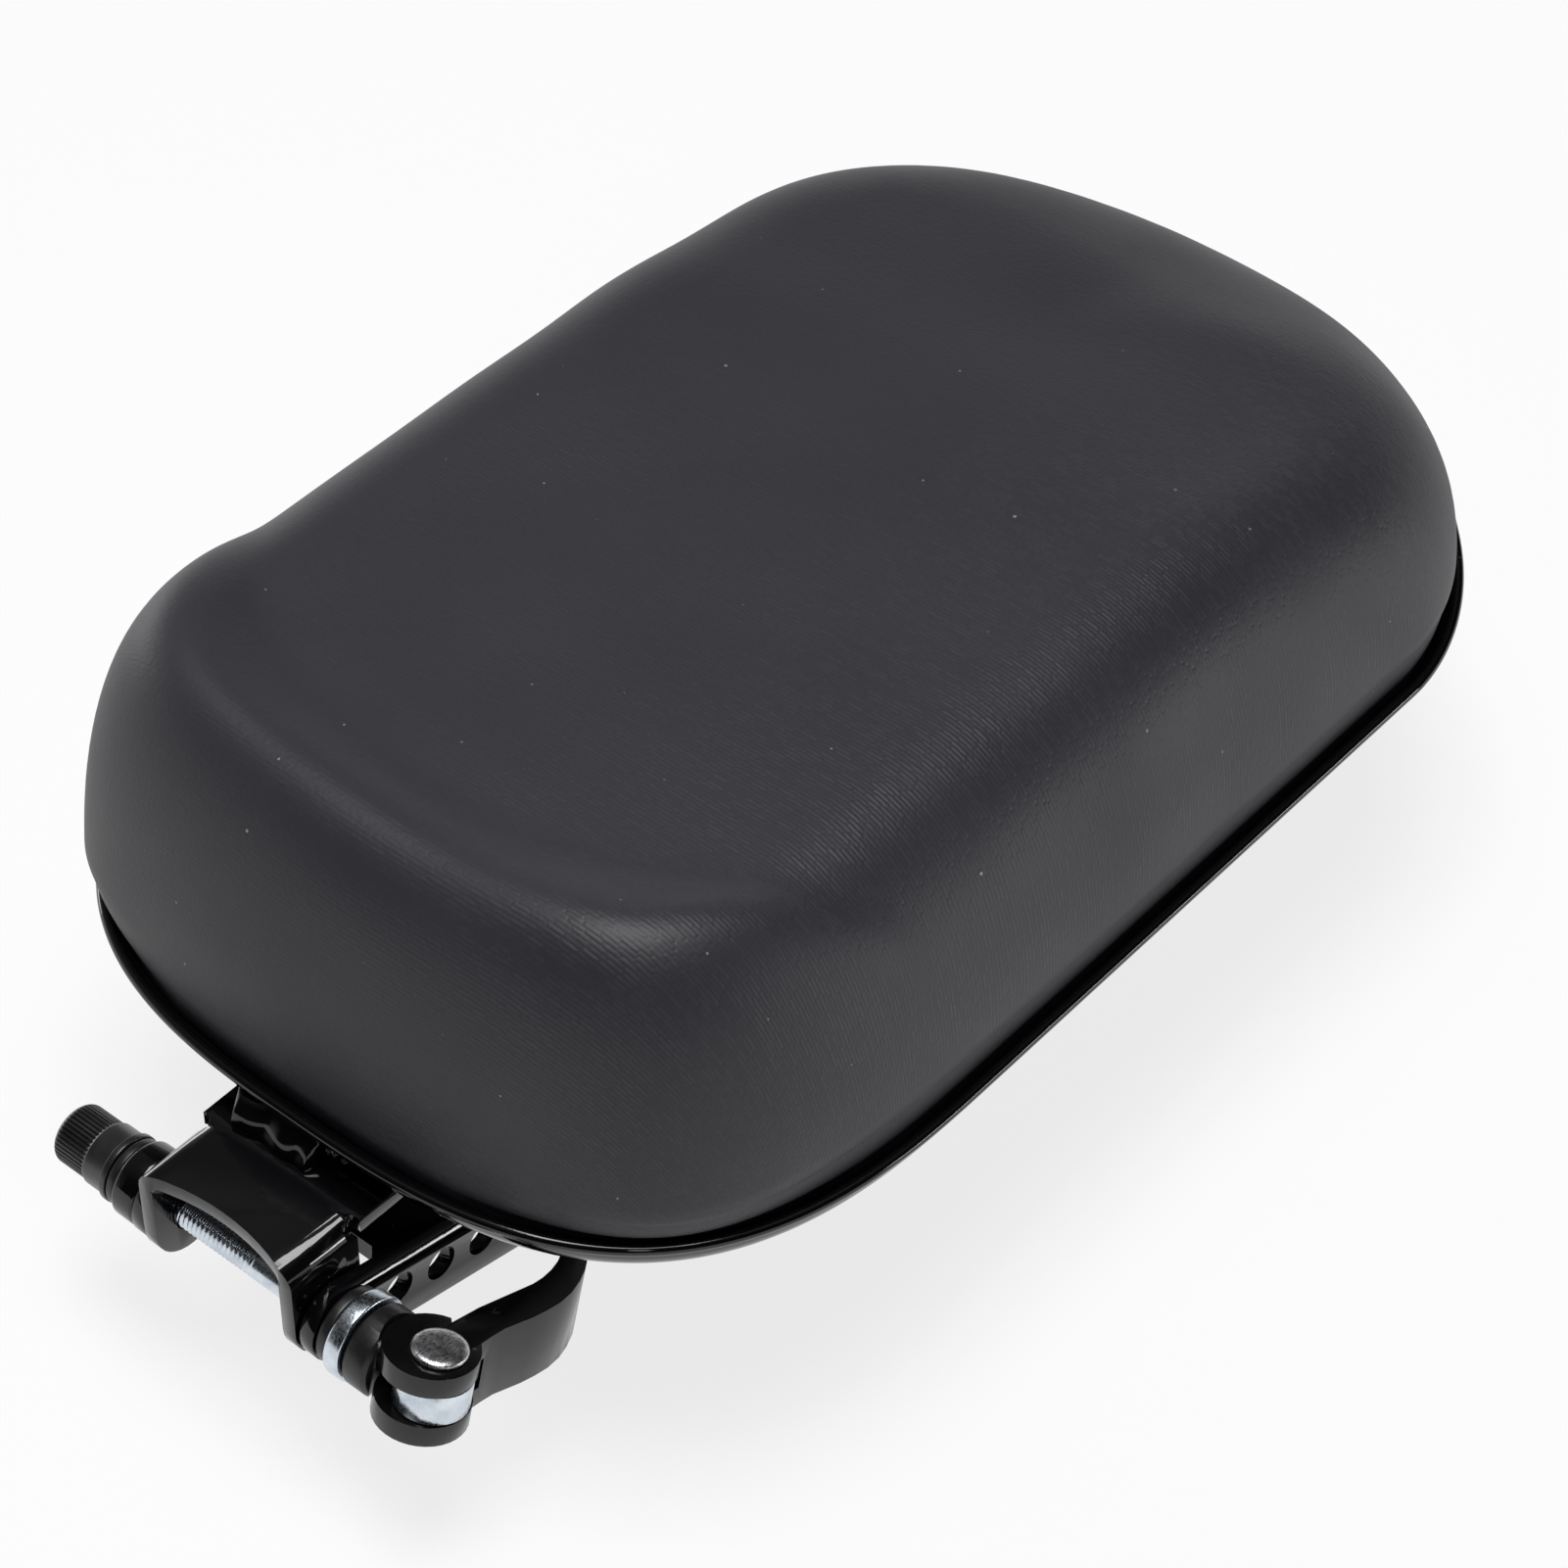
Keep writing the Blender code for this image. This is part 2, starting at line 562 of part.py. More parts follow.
def knurled_nut_solid():
    """Nut from its seat outwards along -X: flange, collar and ribbed grip with a domed end."""
    segments = 2 * NUT_RIBS
    flange_end = nut_start + NUT_FLANGE_LENGTH
    collar_end = flange_end + NUT_COLLAR_LENGTH
    grip_end = nut_start + nut_length
    profile = [(nut_start, NUT_FLANGE_RADIUS, 0), (flange_end, NUT_FLANGE_RADIUS, 0),
               (flange_end, NUT_COLLAR_RADIUS, 0), (collar_end - 0.8, NUT_COLLAR_RADIUS, 0),
               (collar_end, NUT_RIB_RADIUS, 1), (grip_end - 1.6, NUT_RIB_RADIUS, 1),
               (grip_end - 0.5, NUT_RIB_RADIUS - 0.6, 0), (grip_end, NUT_RIB_RADIUS - 1.7, 0)]
    bore = ROD_DIAMETER / 2 + CLEARANCE
    points = []
    for x, radius, ribbed in profile + [(grip_end, bore, 0), (nut_start, bore, 0)]:
        for k in range(segments):
            r = radius - (NUT_RIB_DEPTH if ribbed and k % 2 else 0)
            a = 2 * pi * k / segments
            points.append((-x, r * cos(a), r * sin(a)))
    rings = len(profile) + 2
    faces = []
    for i in range(rings):
        j = (i + 1) % rings
        for k in range(segments):
            n = (k + 1) % segments
            faces.append((i * segments + k, i * segments + n, j * segments + n, j * segments + k))
    return points, faces


def smooth_line(stations, values, wanted):
    """Catmull-Rom values at the wanted stations: a smooth curve through the given points."""
    slope = np.gradient(np.asarray(values, float), np.asarray(stations, float), axis=0)
    result = []
    for s in wanted:
        i = min(int(np.searchsorted(stations, s, side="right")) - 1, len(stations) - 2)
        span = stations[i + 1] - stations[i]
        t = (s - stations[i]) / span
        a, b = np.asarray(values[i], float), np.asarray(values[i + 1], float)
        result.append((2 * t ** 3 - 3 * t ** 2 + 1) * a + (t ** 3 - 2 * t ** 2 + t) * span * slope[i]
                      + (3 * t ** 2 - 2 * t ** 3) * b + (t ** 3 - t ** 2) * span * slope[i + 1])
    return np.array(result)


def lever_outline():
    """Plan of the lever about its pin: the cam discs' circle and the tapering, bent arm."""
    stations = [0.0]
    for a, b in zip(LEVER_LINE[:-1], LEVER_LINE[1:]):
        stations.append(stations[-1] + sqrt((b[0] - a[0]) ** 2 + (b[1] - a[1]) ** 2))
    wanted = np.linspace(ARM_ROOT, stations[-1], 17)
    line = smooth_line(stations, LEVER_LINE, wanted)
    half = smooth_line(stations, [(w,) for w in LEVER_HALF_WIDTH], wanted)[:, 0]
    ahead = np.gradient(line, axis=0)
    ahead /= np.linalg.norm(ahead, axis=1)[:, None]
    aside = np.stack([ahead[:, 1], -ahead[:, 0]], 1)
    right = line + aside * half[:, None]
    left = line - aside * half[:, None]
    heading = degrees(atan2(ahead[-1][1], ahead[-1][0]))
    tip = arc(line[-1], half[-1], heading - 60, heading + 60, 4)
    # The discs' circle runs clockwise seen from above between the arm's two roots
    centre = (-CAM_OFFSET, 0.0)
    root_right = degrees(atan2(right[0][1] - 1.5, right[0][0] - centre[0]))
    root_left = degrees(atan2(left[0][1] - 1.5, left[0][0] - centre[0]))
    disc = arc(centre, CAM_RADIUS, root_left, root_right + 360, 30)
    return disc + [tuple(p) for p in right] + tip + [tuple(p) for p in left[::-1]]


def lever(material, parent):
    """Forked cam lever about its pin's axis, which is the mesh's Z."""
    half = FORK_HEIGHT / 2
    body = add_piece("qr_lever", *prism(lever_outline(), -half, half), material, parent)
    reach = CAM_RADIUS + CAM_OFFSET + 5
    slot = [(-reach, -reach), (reach, -reach), (reach, SLOT_END - 2), (2.2, SLOT_END), (-2.8, SLOT_END),
            (-reach, SLOT_END - 2)]
    cut(body, add_piece("slot", *prism(slot, -FORK_SLOT / 2, FORK_SLOT / 2), None, parent))
    hole = circle((0, 0), (PIN_SHANK_DIAMETER + CLEARANCE) / 2, 24)
    cut(body, add_piece("hole", *prism(hole, -reach, reach), None, parent))
    turn = Matrix.Rotation(radians(RECESS_TURN), 2)
    oval = [turn @ Vector((a * RECESS_ACROSS, b * RECESS_ALONG)) / 2 for a, b in circle((0, 0), 1, 16)]
    oval = [(a + RECESS_CENTRE[0], b + RECESS_CENTRE[1]) for a, b in oval]
    cut(body, add_piece("recess", *prism(oval, half - RECESS_DEPTH, half + 1), None, parent))
    return body


def cup(material, parent):
    """Cup between washer and cam: a disc with a bore and a hollow that fits the cam."""
    edge = SPACER_EDGE
    cup_end = cup_start + CUP_LENGTH
    profile = [(cup_start, CUP_RADIUS - edge), (cup_start + edge, CUP_RADIUS), (cup_end - edge, CUP_RADIUS),
               (cup_end, CUP_RADIUS - edge)]
    body = add_piece("cam_cup", *turned(profile, ROD_HOLE / 2, 36), material, parent)
    hollow = circle((cam_centre_x, 0), CAM_RADIUS + CAM_CLEARANCE, 64, pi / 64)
    return cut(body, add_piece("hollow", *prism(hollow, -CUP_RADIUS - 2, CUP_RADIUS + 2), None, parent))


def drum(material, parent):
    """Drum between the fork's discs: the rod screws into its side, the pin runs through it."""
    half = FORK_SLOT / 2 - CLEARANCE
    outline = circle((pin_x, 0), DRUM_RADIUS, 40)
    body = add_piece("barrel_drum", *prism(outline, -half, half), material, parent)
    inner = circle((pin_x, 0), PIN_SHANK_DIAMETER / 2 + CLEARANCE, 24)
    cut(body, add_piece("pin_bore", *prism(inner, -half - 1, half + 1), None, parent))
    thread = prism(circle((0, 0), rod_in_drum / 2 + CLEARANCE, 24), pin_x - DRUM_RADIUS - 3, pin_x, "X")
    return cut(body, add_piece("thread_bore", *thread, None, parent))


clear_scene()

black_gloss = make_material("black_gloss_paint", (0.012, 0.012, 0.013), 0.12, 0.0)
black_leather = make_material("black_leather", (0.030, 0.030, 0.034), 0.48, 0.0)
plywood = make_material("plywood", (0.42, 0.29, 0.17), 0.7, 0.0)
zinc = make_material("zinc_plate", (0.72, 0.75, 0.80), 0.22, 1.0)
polished = make_material("polished_steel", (0.62, 0.62, 0.63), 0.12, 1.0)
black_alloy = make_material("black_anodised", (0.016, 0.016, 0.018), 0.30, 0.4)
black_plastic = make_material("black_plastic", (0.018, 0.018, 0.019), 0.35, 0.0)

# One empty for each body, on its joint's axis
channel_frame = make_empty("channel_frame", pivot_world, -tilt)
seat_frame = make_empty("seat_frame", pivot_world)
pan_frame = make_empty("pan_frame", -pivot_in_pan, 0, seat_frame)
skewer_frame = make_empty("skewer_frame", pivot_world, -tilt)
nut_frame = make_empty("nut_frame", pivot_world, -tilt)
lever_frame = make_empty("lever_frame", (pin_x, 0, 0), 0, skewer_frame)

# Seat
pan = add_piece("seat_pan", *pan_solid(), black_gloss, pan_frame)
add_piece("seat_cushion", *cushion_solid(), black_leather, pan_frame)
board = add_piece("base_board", *board_solid(), plywood, pan_frame)
clevis(black_gloss, seat_frame)

screw_places = [(sx * SCREW_X, y) for y in (SCREW_FRONT_Y, SCREW_REAR_Y) for sx in (-1, 1)]
shank = SCREW_DIAMETER / 2
for number, (x, y) in enumerate(screw_places, 1):
    hole = circle((x, y), shank + CLEARANCE, 16)
    cut(pan, add_piece("hole", *prism(hole, -PAN_DEPTH - 2, pan_floor_top + 1), None, pan_frame))
    barrel_hole = circle((x, y), TEE_BARREL_DIAMETER / 2 + CLEARANCE, 16)
    cut(board, add_piece("hole", *prism(barrel_hole, board_low - 1, board_top + 1), None, pan_frame))
    recess = circle((x, y), TEE_FLANGE_DIAMETER / 2 + CLEARANCE, 20)
    recess_low = board_top - TEE_FLANGE_THICKNESS - CLEARANCE
    cut(board, add_piece("recess", *prism(recess, recess_low, board_top + 1), None, pan_frame))
    tee_radius = TEE_FLANGE_DIAMETER / 2
    barrel = TEE_BARREL_DIAMETER / 2
    tee = upright([(barrel, board_low), (barrel, board_top - TEE_FLANGE_THICKNESS),
                   (tee_radius, board_top - TEE_FLANGE_THICKNESS), (tee_radius, board_top)], 20)
    nut = add_piece(f"tee_nut_{number}", *tee, zinc, pan_frame, (x, y, 0))
    nut_bore = circle((0, 0), shank + CLEARANCE, 16)
    cut(nut, add_piece("bore", *prism(nut_bore, board_low - 1, board_top + 1), None, pan_frame, (x, y, 0)))
    washer_top = -PAN_DEPTH - CLEARANCE
    washer_low = washer_top - WASHER_THICKNESS
    washer = add_piece(f"pan_washer_{number}",
                       *upright([(WASHER_DIAMETER / 2, washer_low), (WASHER_DIAMETER / 2, washer_top)], 20),
                       zinc, pan_frame, (x, y, 0))
    bore_tool = prism(nut_bore, washer_low - 1, washer_top + 1)
    cut(washer, add_piece("bore", *bore_tool, None, pan_frame, (x, y, 0)))
    head_top = washer_low - CLEARANCE
    head_low = head_top - SCREW_HEAD_HEIGHT
    head = SCREW_HEAD_DIAMETER / 2
    # Button head: low, rounded face, then the shank up into the tee nut
    screw = upright([(head * 0.6, head_low), (head * 0.88, head_low + SCREW_HEAD_HEIGHT * 0.3),
                     (head, head_low + SCREW_HEAD_HEIGHT * 0.75), (head, head_top), (shank, head_top),
                     (shank, board_top - TEE_FLANGE_THICKNESS / 2)], 20)
    bolt = add_piece(f"pan_screw_{number}", *screw, zinc, pan_frame, (x, y, 0))
    hexagon = circle((0, 0), SCREW_SOCKET / 2 / cos(pi / 6), 6)
    socket = prism(hexagon, head_low - 1, head_low + SCREW_HEAD_HEIGHT * 0.65)
    cut(bolt, add_piece("socket", *socket, None, pan_frame, (x, y, 0)))

# Welds between pan and clevis: one across the front, one along each side of the tongue
clevis_top = -PAN_DEPTH - CLEARANCE
bend_centre = pan_wall_outside - PAN_BEND
bend_middle = -PAN_DEPTH + PAN_BEND
weld_low = clevis_top + CLEARANCE
low_angle = degrees(asin((bend_middle - weld_low) / (PAN_BEND + CLEARANCE)))
back = arc((bend_centre, bend_middle), PAN_BEND + CLEARANCE, -low_angle, -12, 5)
reach = WELD_FRONT_LEG
weld_top = back[-1][1]
face = [(0.40 * reach, weld_top - 0.8), (0.80 * reach, 0.55 * weld_top + 0.45 * weld_low),
        (0.96 * reach, 0.22 * weld_top + 0.78 * weld_low), (reach, weld_low)]
front_weld = weld_bead(WELD_FRONT_LENGTH, back, face, 14, 3)
add_piece("weld_front", *front_weld, black_gloss, pan_frame, (WELD_FRONT_X, rim_front, 0))
for side, name in ((-1, "weld_left"), (1, "weld_right")):
    leg = WELD_SIDE_LEG
    face = [(0.35 * leg, 0.9 * PLATE), (0.75 * leg, 0.6 * PLATE), (leg, 0)]
    bead = weld_bead(WELD_SIDE_LENGTH, [(0, 0), (0, PLATE)], face, 9, 5 + side)
    # Turned so that it runs along the tongue, under the pan's floor
    points = [(side * -b, a, -c) for a, b, c in bead[0]]
    weld_y = pivot_in_pan.y + CLEVIS_LUG_RADIUS + TONGUE_LENGTH * 0.6
    place = (side * (TONGUE_WIDTH / 2 + CLEARANCE), weld_y, clevis_top)
    add_piece(name, points, bead[1], black_gloss, pan_frame, place)

# Channel and the pieces that stay with it
channel(black_gloss, channel_frame)
left_start = arm_outside + CLEARANCE
left_end = left_start + LEFT_SPACER_LENGTH
left_spacer = [(-left_start, SPACER_RADIUS), (SPACER_EDGE - left_end, SPACER_RADIUS),
               (-left_end, SPACER_RADIUS - SPACER_EDGE)]
add_piece("left_spacer", *turned(left_spacer, ROD_HOLE / 2), black_gloss, channel_frame)
right_spacer = [(left_start, SPACER_RADIUS), (left_start + RIGHT_SPACER_LENGTH, SPACER_RADIUS)]
add_piece("right_spacer", *turned(right_spacer, ROD_HOLE / 2), black_plastic, channel_frame)
nut_washer_end = nut_washer_start + NUT_WASHER_LENGTH
nut_washer = [(-nut_washer_start, NUT_WASHER_RADIUS), (-nut_washer_end, NUT_WASHER_RADIUS)]
add_piece("nut_washer", *turned(nut_washer, ROD_HOLE / 2), black_plastic, channel_frame)
zinc_end = zinc_start + ZINC_WASHER_LENGTH
zinc_washer = [(zinc_start, ZINC_WASHER_RADIUS - THIN_EDGE), (zinc_start + THIN_EDGE, ZINC_WASHER_RADIUS),
               (zinc_end - THIN_EDGE, ZINC_WASHER_RADIUS), (zinc_end, ZINC_WASHER_RADIUS - THIN_EDGE)]
add_piece("zinc_washer", *turned(zinc_washer, ROD_HOLE / 2), zinc, channel_frame)

# Skewer: the rod ends in the drum on one side and inside the nut on the other
rod_in_drum = ROD_DIAMETER - 1.4
drum_side = pin_x - DRUM_RADIUS
rod = [(-nut_start - nut_length + 2.0, ROD_DIAMETER / 2), (drum_side - CLEARANCE, ROD_DIAMETER / 2),
       (drum_side - CLEARANCE, rod_in_drum / 2),
       (pin_x - PIN_SHANK_DIAMETER / 2 - 2 * CLEARANCE, rod_in_drum / 2)]
add_piece("pivot_rod", *turned(rod, 0, 28), zinc, skewer_frame)
cup(black_plastic, skewer_frame)
drum(zinc, skewer_frame)

# Nut, lever and the lever's pin
add_piece("knurled_nut", *knurled_nut_solid(), black_alloy, nut_frame)
lever(black_alloy, lever_frame)
pin_low = FORK_HEIGHT / 2 + CLEARANCE
pin_end = pin_low + PIN_HEAD_HEIGHT
pin_head = PIN_HEAD_DIAMETER / 2
pin_shank = (PIN_SHANK_DIAMETER - CLEARANCE) / 2
pin_half = [(pin_shank, pin_low), (pin_head, pin_low), (pin_head, pin_end - THIN_EDGE),
            (pin_head - THIN_EDGE, pin_end)]
pin = upright([(r, -z) for r, z in reversed(pin_half)] + pin_half)
add_piece("lever_pin", *pin, polished, lever_frame)
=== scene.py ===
"""Front child bike seat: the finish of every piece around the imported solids.

Metres, +X towards the quick release lever, +Y from the clamp towards the back of the seat,
+Z up, square to the rim of the pan.
"""
import json
import bpy
import bmesh
import numpy as np
from math import cos, pi, radians, sin
from mathutils import Matrix, Vector


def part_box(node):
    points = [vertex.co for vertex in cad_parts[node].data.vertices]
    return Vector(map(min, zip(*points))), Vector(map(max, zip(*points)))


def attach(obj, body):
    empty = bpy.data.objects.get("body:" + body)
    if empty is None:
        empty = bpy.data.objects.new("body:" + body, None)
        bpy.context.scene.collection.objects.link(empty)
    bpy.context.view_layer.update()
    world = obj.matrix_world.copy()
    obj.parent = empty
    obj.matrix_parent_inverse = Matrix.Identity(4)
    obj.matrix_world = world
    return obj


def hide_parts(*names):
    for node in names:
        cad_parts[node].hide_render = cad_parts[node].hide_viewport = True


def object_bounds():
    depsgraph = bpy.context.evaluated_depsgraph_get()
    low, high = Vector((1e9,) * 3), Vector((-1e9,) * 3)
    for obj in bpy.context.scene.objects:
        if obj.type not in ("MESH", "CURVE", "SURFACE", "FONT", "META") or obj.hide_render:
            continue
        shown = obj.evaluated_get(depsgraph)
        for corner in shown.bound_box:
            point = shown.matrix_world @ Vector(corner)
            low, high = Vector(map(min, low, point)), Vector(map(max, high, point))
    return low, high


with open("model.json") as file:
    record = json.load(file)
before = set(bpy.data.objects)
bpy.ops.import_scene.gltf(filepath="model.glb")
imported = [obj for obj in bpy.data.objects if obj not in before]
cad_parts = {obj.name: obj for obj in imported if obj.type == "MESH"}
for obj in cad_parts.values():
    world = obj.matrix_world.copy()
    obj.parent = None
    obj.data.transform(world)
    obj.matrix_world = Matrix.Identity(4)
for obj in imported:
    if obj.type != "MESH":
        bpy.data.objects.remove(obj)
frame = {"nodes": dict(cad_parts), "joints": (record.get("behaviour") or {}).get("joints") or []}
cad_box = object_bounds()
MM = 0.001

# Camera
# A long lens high over the lever's corner, as in the photograph. Its place is given from the
# middle of the pan's rim, which the frame gives.
pan_low, pan_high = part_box("seat_pan")
LIP_RADIUS = 1.1 * MM
rim_z = pan_high.z
rim_front = pan_low.y + LIP_RADIUS
half_width = pan_high.x - LIP_RADIUS
RIM_FRONT_LENGTH = 136.1 * MM        # from the rim's centre to its front edge
rim_centre = Vector((0, rim_front + RIM_FRONT_LENGTH, rim_z))
CAMERA_FROM_RIM = Vector((374.66, -464.76, 563.68)) * MM
CAMERA_AZIMUTH = radians(39.48)
CAMERA_ELEVATION = radians(44.63)
CAMERA_ROLL = radians(0.94)
lens = bpy.data.cameras.new("camera")
lens.sensor_width = 36.0
lens.lens = 103.64
lens.clip_start = 0.05
camera = bpy.data.objects.new("camera", lens)
bpy.context.collection.objects.link(camera)
looking = Vector((-sin(CAMERA_AZIMUTH) * cos(CAMERA_ELEVATION),
                  cos(CAMERA_AZIMUTH) * cos(CAMERA_ELEVATION), -sin(CAMERA_ELEVATION)))
level = Vector((cos(CAMERA_AZIMUTH), sin(CAMERA_AZIMUTH), 0))
upright = level.cross(looking)
across = cos(CAMERA_ROLL) * level + sin(CAMERA_ROLL) * upright
upright = cos(CAMERA_ROLL) * upright - sin(CAMERA_ROLL) * level
turn = Matrix((across, upright, -looking)).transposed()
camera.matrix_world = Matrix.Translation(rim_centre + CAMERA_FROM_RIM) @ turn.to_4x4()
bpy.context.scene.camera = camera

# Mounting channel
# Folded from 3 mm steel plate and perforated, then dipped in thick gloss black paint, which
# rounds every edge. Its two arms hold the skewer and its row of holes takes the bracket's bolts.
PAINT_EDGE = 0.45 * MM
FLAT_ANGLE = radians(2.0)            # facets that meet below it are one flat face
CORNER_ANGLE = radians(34)           # corners above it are rounded


def linear(code):
    """Linear RGBA of an sRGB hex colour: each channel to the power 2.4 above its straight foot."""
    channels = [int(code[k:k + 2], 16) / 255 for k in (1, 3, 5)]
    return (*[c / 12.92 if c <= 0.04045 else ((c + 0.055) / 1.055) ** 2.4 for c in channels], 1.0)


def add(tree, kind, inputs=None, **settings):
    """Add a shader node. An input's value is a number, a colour or the socket to link from."""
    made = tree.nodes.new("ShaderNode" + kind)
    for key, value in settings.items():
        setattr(made, key, value)
    for key, value in (inputs or {}).items():
        if isinstance(value, bpy.types.NodeSocket):
            tree.links.new(value, made.inputs[key])
        else:
            made.inputs[key].default_value = value
    return made


def ramp(tree, factor, stops):
    """A colour ramp of (position, grey or colour) stops."""
    made = add(tree, "ValToRGB", {"Fac": factor})
    for k, (position, value) in enumerate(stops):
        stop = made.color_ramp.elements[k] if k < 2 else made.color_ramp.elements.new(position)
        stop.position = position
        stop.color = value if hasattr(value, "__len__") else (value, value, value, 1)
    return made.outputs["Color"]


def start_material(name):
    """A new material's tree, its Principled shader and its Object coordinates."""
    made = bpy.data.materials.new(name)
    made.use_nodes = True
    tree = made.node_tree
    return made, tree, tree.nodes["Principled BSDF"], add(tree, "TexCoord").outputs["Object"]


def gloss_black_paint():
    """Stoved gloss enamel, black: a mirror-like coat with faint orange peel and a few dust grains.

    Orange peel waves are 2.5 mm, dust grains 0.35 mm. Noise scales are waves a metre."""
    made, tree, shader, place = start_material("gloss_black_paint")
    peel = add(tree, "TexNoise", {"Vector": place, "Scale": 1 / 0.0025, "Detail": 2.0})
    dust = add(tree, "TexVoronoi", {"Vector": place, "Scale": 1 / 0.0030})
    grain = ramp(tree, dust.outputs["Distance"], [(0.03, 1.0), (0.09, 0.0)])
    chosen = add(tree, "SeparateColor", {"Color": dust.outputs["Color"]})
    few = add(tree, "Math", {0: chosen.outputs["Red"], 1: 0.82}, operation="GREATER_THAN")
    specks = add(tree, "Math", {0: grain, 1: few.outputs[0]}, operation="MULTIPLY")
    waves = add(tree, "Bump", {"Height": peel.outputs["Fac"], "Strength": 0.05, "Distance": 0.0004})
    bumps = add(tree, "Bump", {"Height": specks.outputs[0], "Strength": 0.3, "Distance": 0.0001,
                               "Normal": waves.outputs["Normal"]})
    tree.links.new(bumps.outputs["Normal"], shader.inputs["Normal"])
    smears = add(tree, "TexNoise", {"Vector": place, "Scale": 60.0, "Detail": 4.0})
    tree.links.new(ramp(tree, smears.outputs["Fac"], [(0.35, 0.04), (0.75, 0.11)]),
                   shader.inputs["Roughness"])
    tree.links.new(ramp(tree, specks.outputs[0], [(0.3, linear("#08080a")), (0.9, linear("#5c5c60"))]),
                   shader.inputs["Base Color"])
    shader.inputs["IOR"].default_value = 1.52
    return made


def softened(name, node, edge, segments, material, body):
    """A solid's surface with its corners rounded: merged into flat faces, then bevelled."""
    mesh = frame["nodes"][node].data.copy()
    mesh.name = name
    work = bmesh.new()
    work.from_mesh(mesh)
    bmesh.ops.remove_doubles(work, verts=work.verts, dist=2e-6)
    bmesh.ops.dissolve_limit(work, angle_limit=FLAT_ANGLE, verts=work.verts, edges=work.edges)
    work.to_mesh(mesh)
    work.free()
    mesh.materials.clear()
    mesh.materials.append(material)
    mesh.polygons.foreach_set("material_index", [0] * len(mesh.polygons))
    if "sharp_edge" in mesh.attributes:
        mesh.attributes.remove(mesh.attributes["sharp_edge"])
    mesh.shade_smooth()
    piece = bpy.data.objects.new(name, mesh)
    bpy.context.collection.objects.link(piece)
    bevel = piece.modifiers.new("edges", "BEVEL")
    bevel.width = edge
    bevel.segments = segments
    bevel.limit_method = "ANGLE"
    bevel.angle_limit = CORNER_ANGLE
    bevel.miter_outer = "MITER_ARC"
    bevel.harden_normals = True
    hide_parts(node)
    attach(piece, body)
    return piece


paint = gloss_black_paint()
softened("channel_steel", "outer_channel", PAINT_EDGE, 3, paint, "channel")

# Inner bracket
# The folded clevis under the pan, of the same plate and paint. The skewer passes through its lugs.
softened("bracket_steel", "inner_bracket", PAINT_EDGE, 3, paint, "seat")

# Spacers and washers on the skewer
# Turned or stamped rings: a painted steel spacer and a black washer at the nut's end, a black
# spacer and a bright zinc plated washer at the lever's end.
joint = {j["name"]: j for j in frame["joints"]}
pivot = Vector(joint["seat_tilt"]["pos_m"])
RING_SEGMENTS = 128
BORE_RADIUS = 3.3 * MM


def rounded(corners, radius, steps=4):
    """A profile whose inner corners are cut by arcs: each arc is a quadratic curve through
    two points at the radius from the corner, with the corner as its control point."""
    corners = [np.array(c, float) for c in corners]
    made = [corners[0]]
    for before, corner, after in zip(corners[:-2], corners[1:-1], corners[2:]):
        first, last = before - corner, after - corner
        reach = min(radius, np.linalg.norm(first) * 0.45, np.linalg.norm(last) * 0.45)
        a = corner + first / np.linalg.norm(first) * reach
        b = corner + last / np.linalg.norm(last) * reach
        for t in np.linspace(0, 1, steps + 1):
            made.append((1 - t) ** 2 * a + 2 * t * (1 - t) * corner + t ** 2 * b)
    made.append(corners[-1])
    return np.array(made)


def new_piece(name, points, faces, material, slot, body, stands_for=(), sharp=None):
    """A mesh piece in place, smooth shaded, that rides on a body and stands for its solids."""
    mesh = bpy.data.meshes.new(name)
    mesh.from_pydata(np.asarray(points, float).tolist(), [], faces)
    work = bmesh.new()
    work.from_mesh(mesh)
    bmesh.ops.recalc_face_normals(work, faces=work.faces)
    work.to_mesh(mesh)
    work.free()
    mesh.shade_smooth()
    if sharp:
        mesh.set_sharp_from_angle(angle=radians(sharp))
    mesh.materials.append(material)
    piece = bpy.data.objects.new(name, mesh)
    bpy.context.collection.objects.link(piece)
    if stands_for:
        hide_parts(*stands_for)
    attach(piece, body)
    return piece


def grid_faces(rows, columns, close_rows=False, flip=False):
    """Quads of a grid of points numbered row by row, where each row is a closed ring."""
    i = np.arange(rows if close_rows else rows - 1)[:, None]
    j = np.arange(columns)[None, :]
    i2, j2 = (i + 1) % rows, (j + 1) % columns
    quads = np.stack([i * columns + j, i * columns + j2, i2 * columns + j2, i2 * columns + j], -1)
    quads = quads.reshape(-1, 4)
    return quads[:, ::-1].tolist() if flip else quads.tolist()


def about_skewer(x, radii):
    """Rings of points about the skewer's axis, one at each x, with its radii evenly round it."""
    angle = np.linspace(0, 2 * pi, radii.shape[1], endpoint=False)
    return np.stack([np.broadcast_to(x[:, None], radii.shape), pivot.y + radii * np.cos(angle),
                     pivot.z + radii * np.sin(angle)], -1).reshape(-1, 3)


def turned_ring(name, node, edge, material, slot):
    """A plain ring in the box of its solid, with rounded edges and a bore for the skewer."""
    low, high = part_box(node)
    radius = (high.z - low.z) / 2
    middle = (low.x + high.x) / 2
    loop = [(middle, BORE_RADIUS), (low.x, BORE_RADIUS), (low.x, radius), (high.x, radius),
            (high.x, BORE_RADIUS), (middle, BORE_RADIUS)]
    x, r = rounded(loop, edge)[:-1].T
    points = about_skewer(x, np.tile(r[:, None], RING_SEGMENTS))
    faces = grid_faces(len(x), RING_SEGMENTS, close_rows=True, flip=True)
    return new_piece(name, points, faces, material, slot, "channel", (node,), sharp=40)


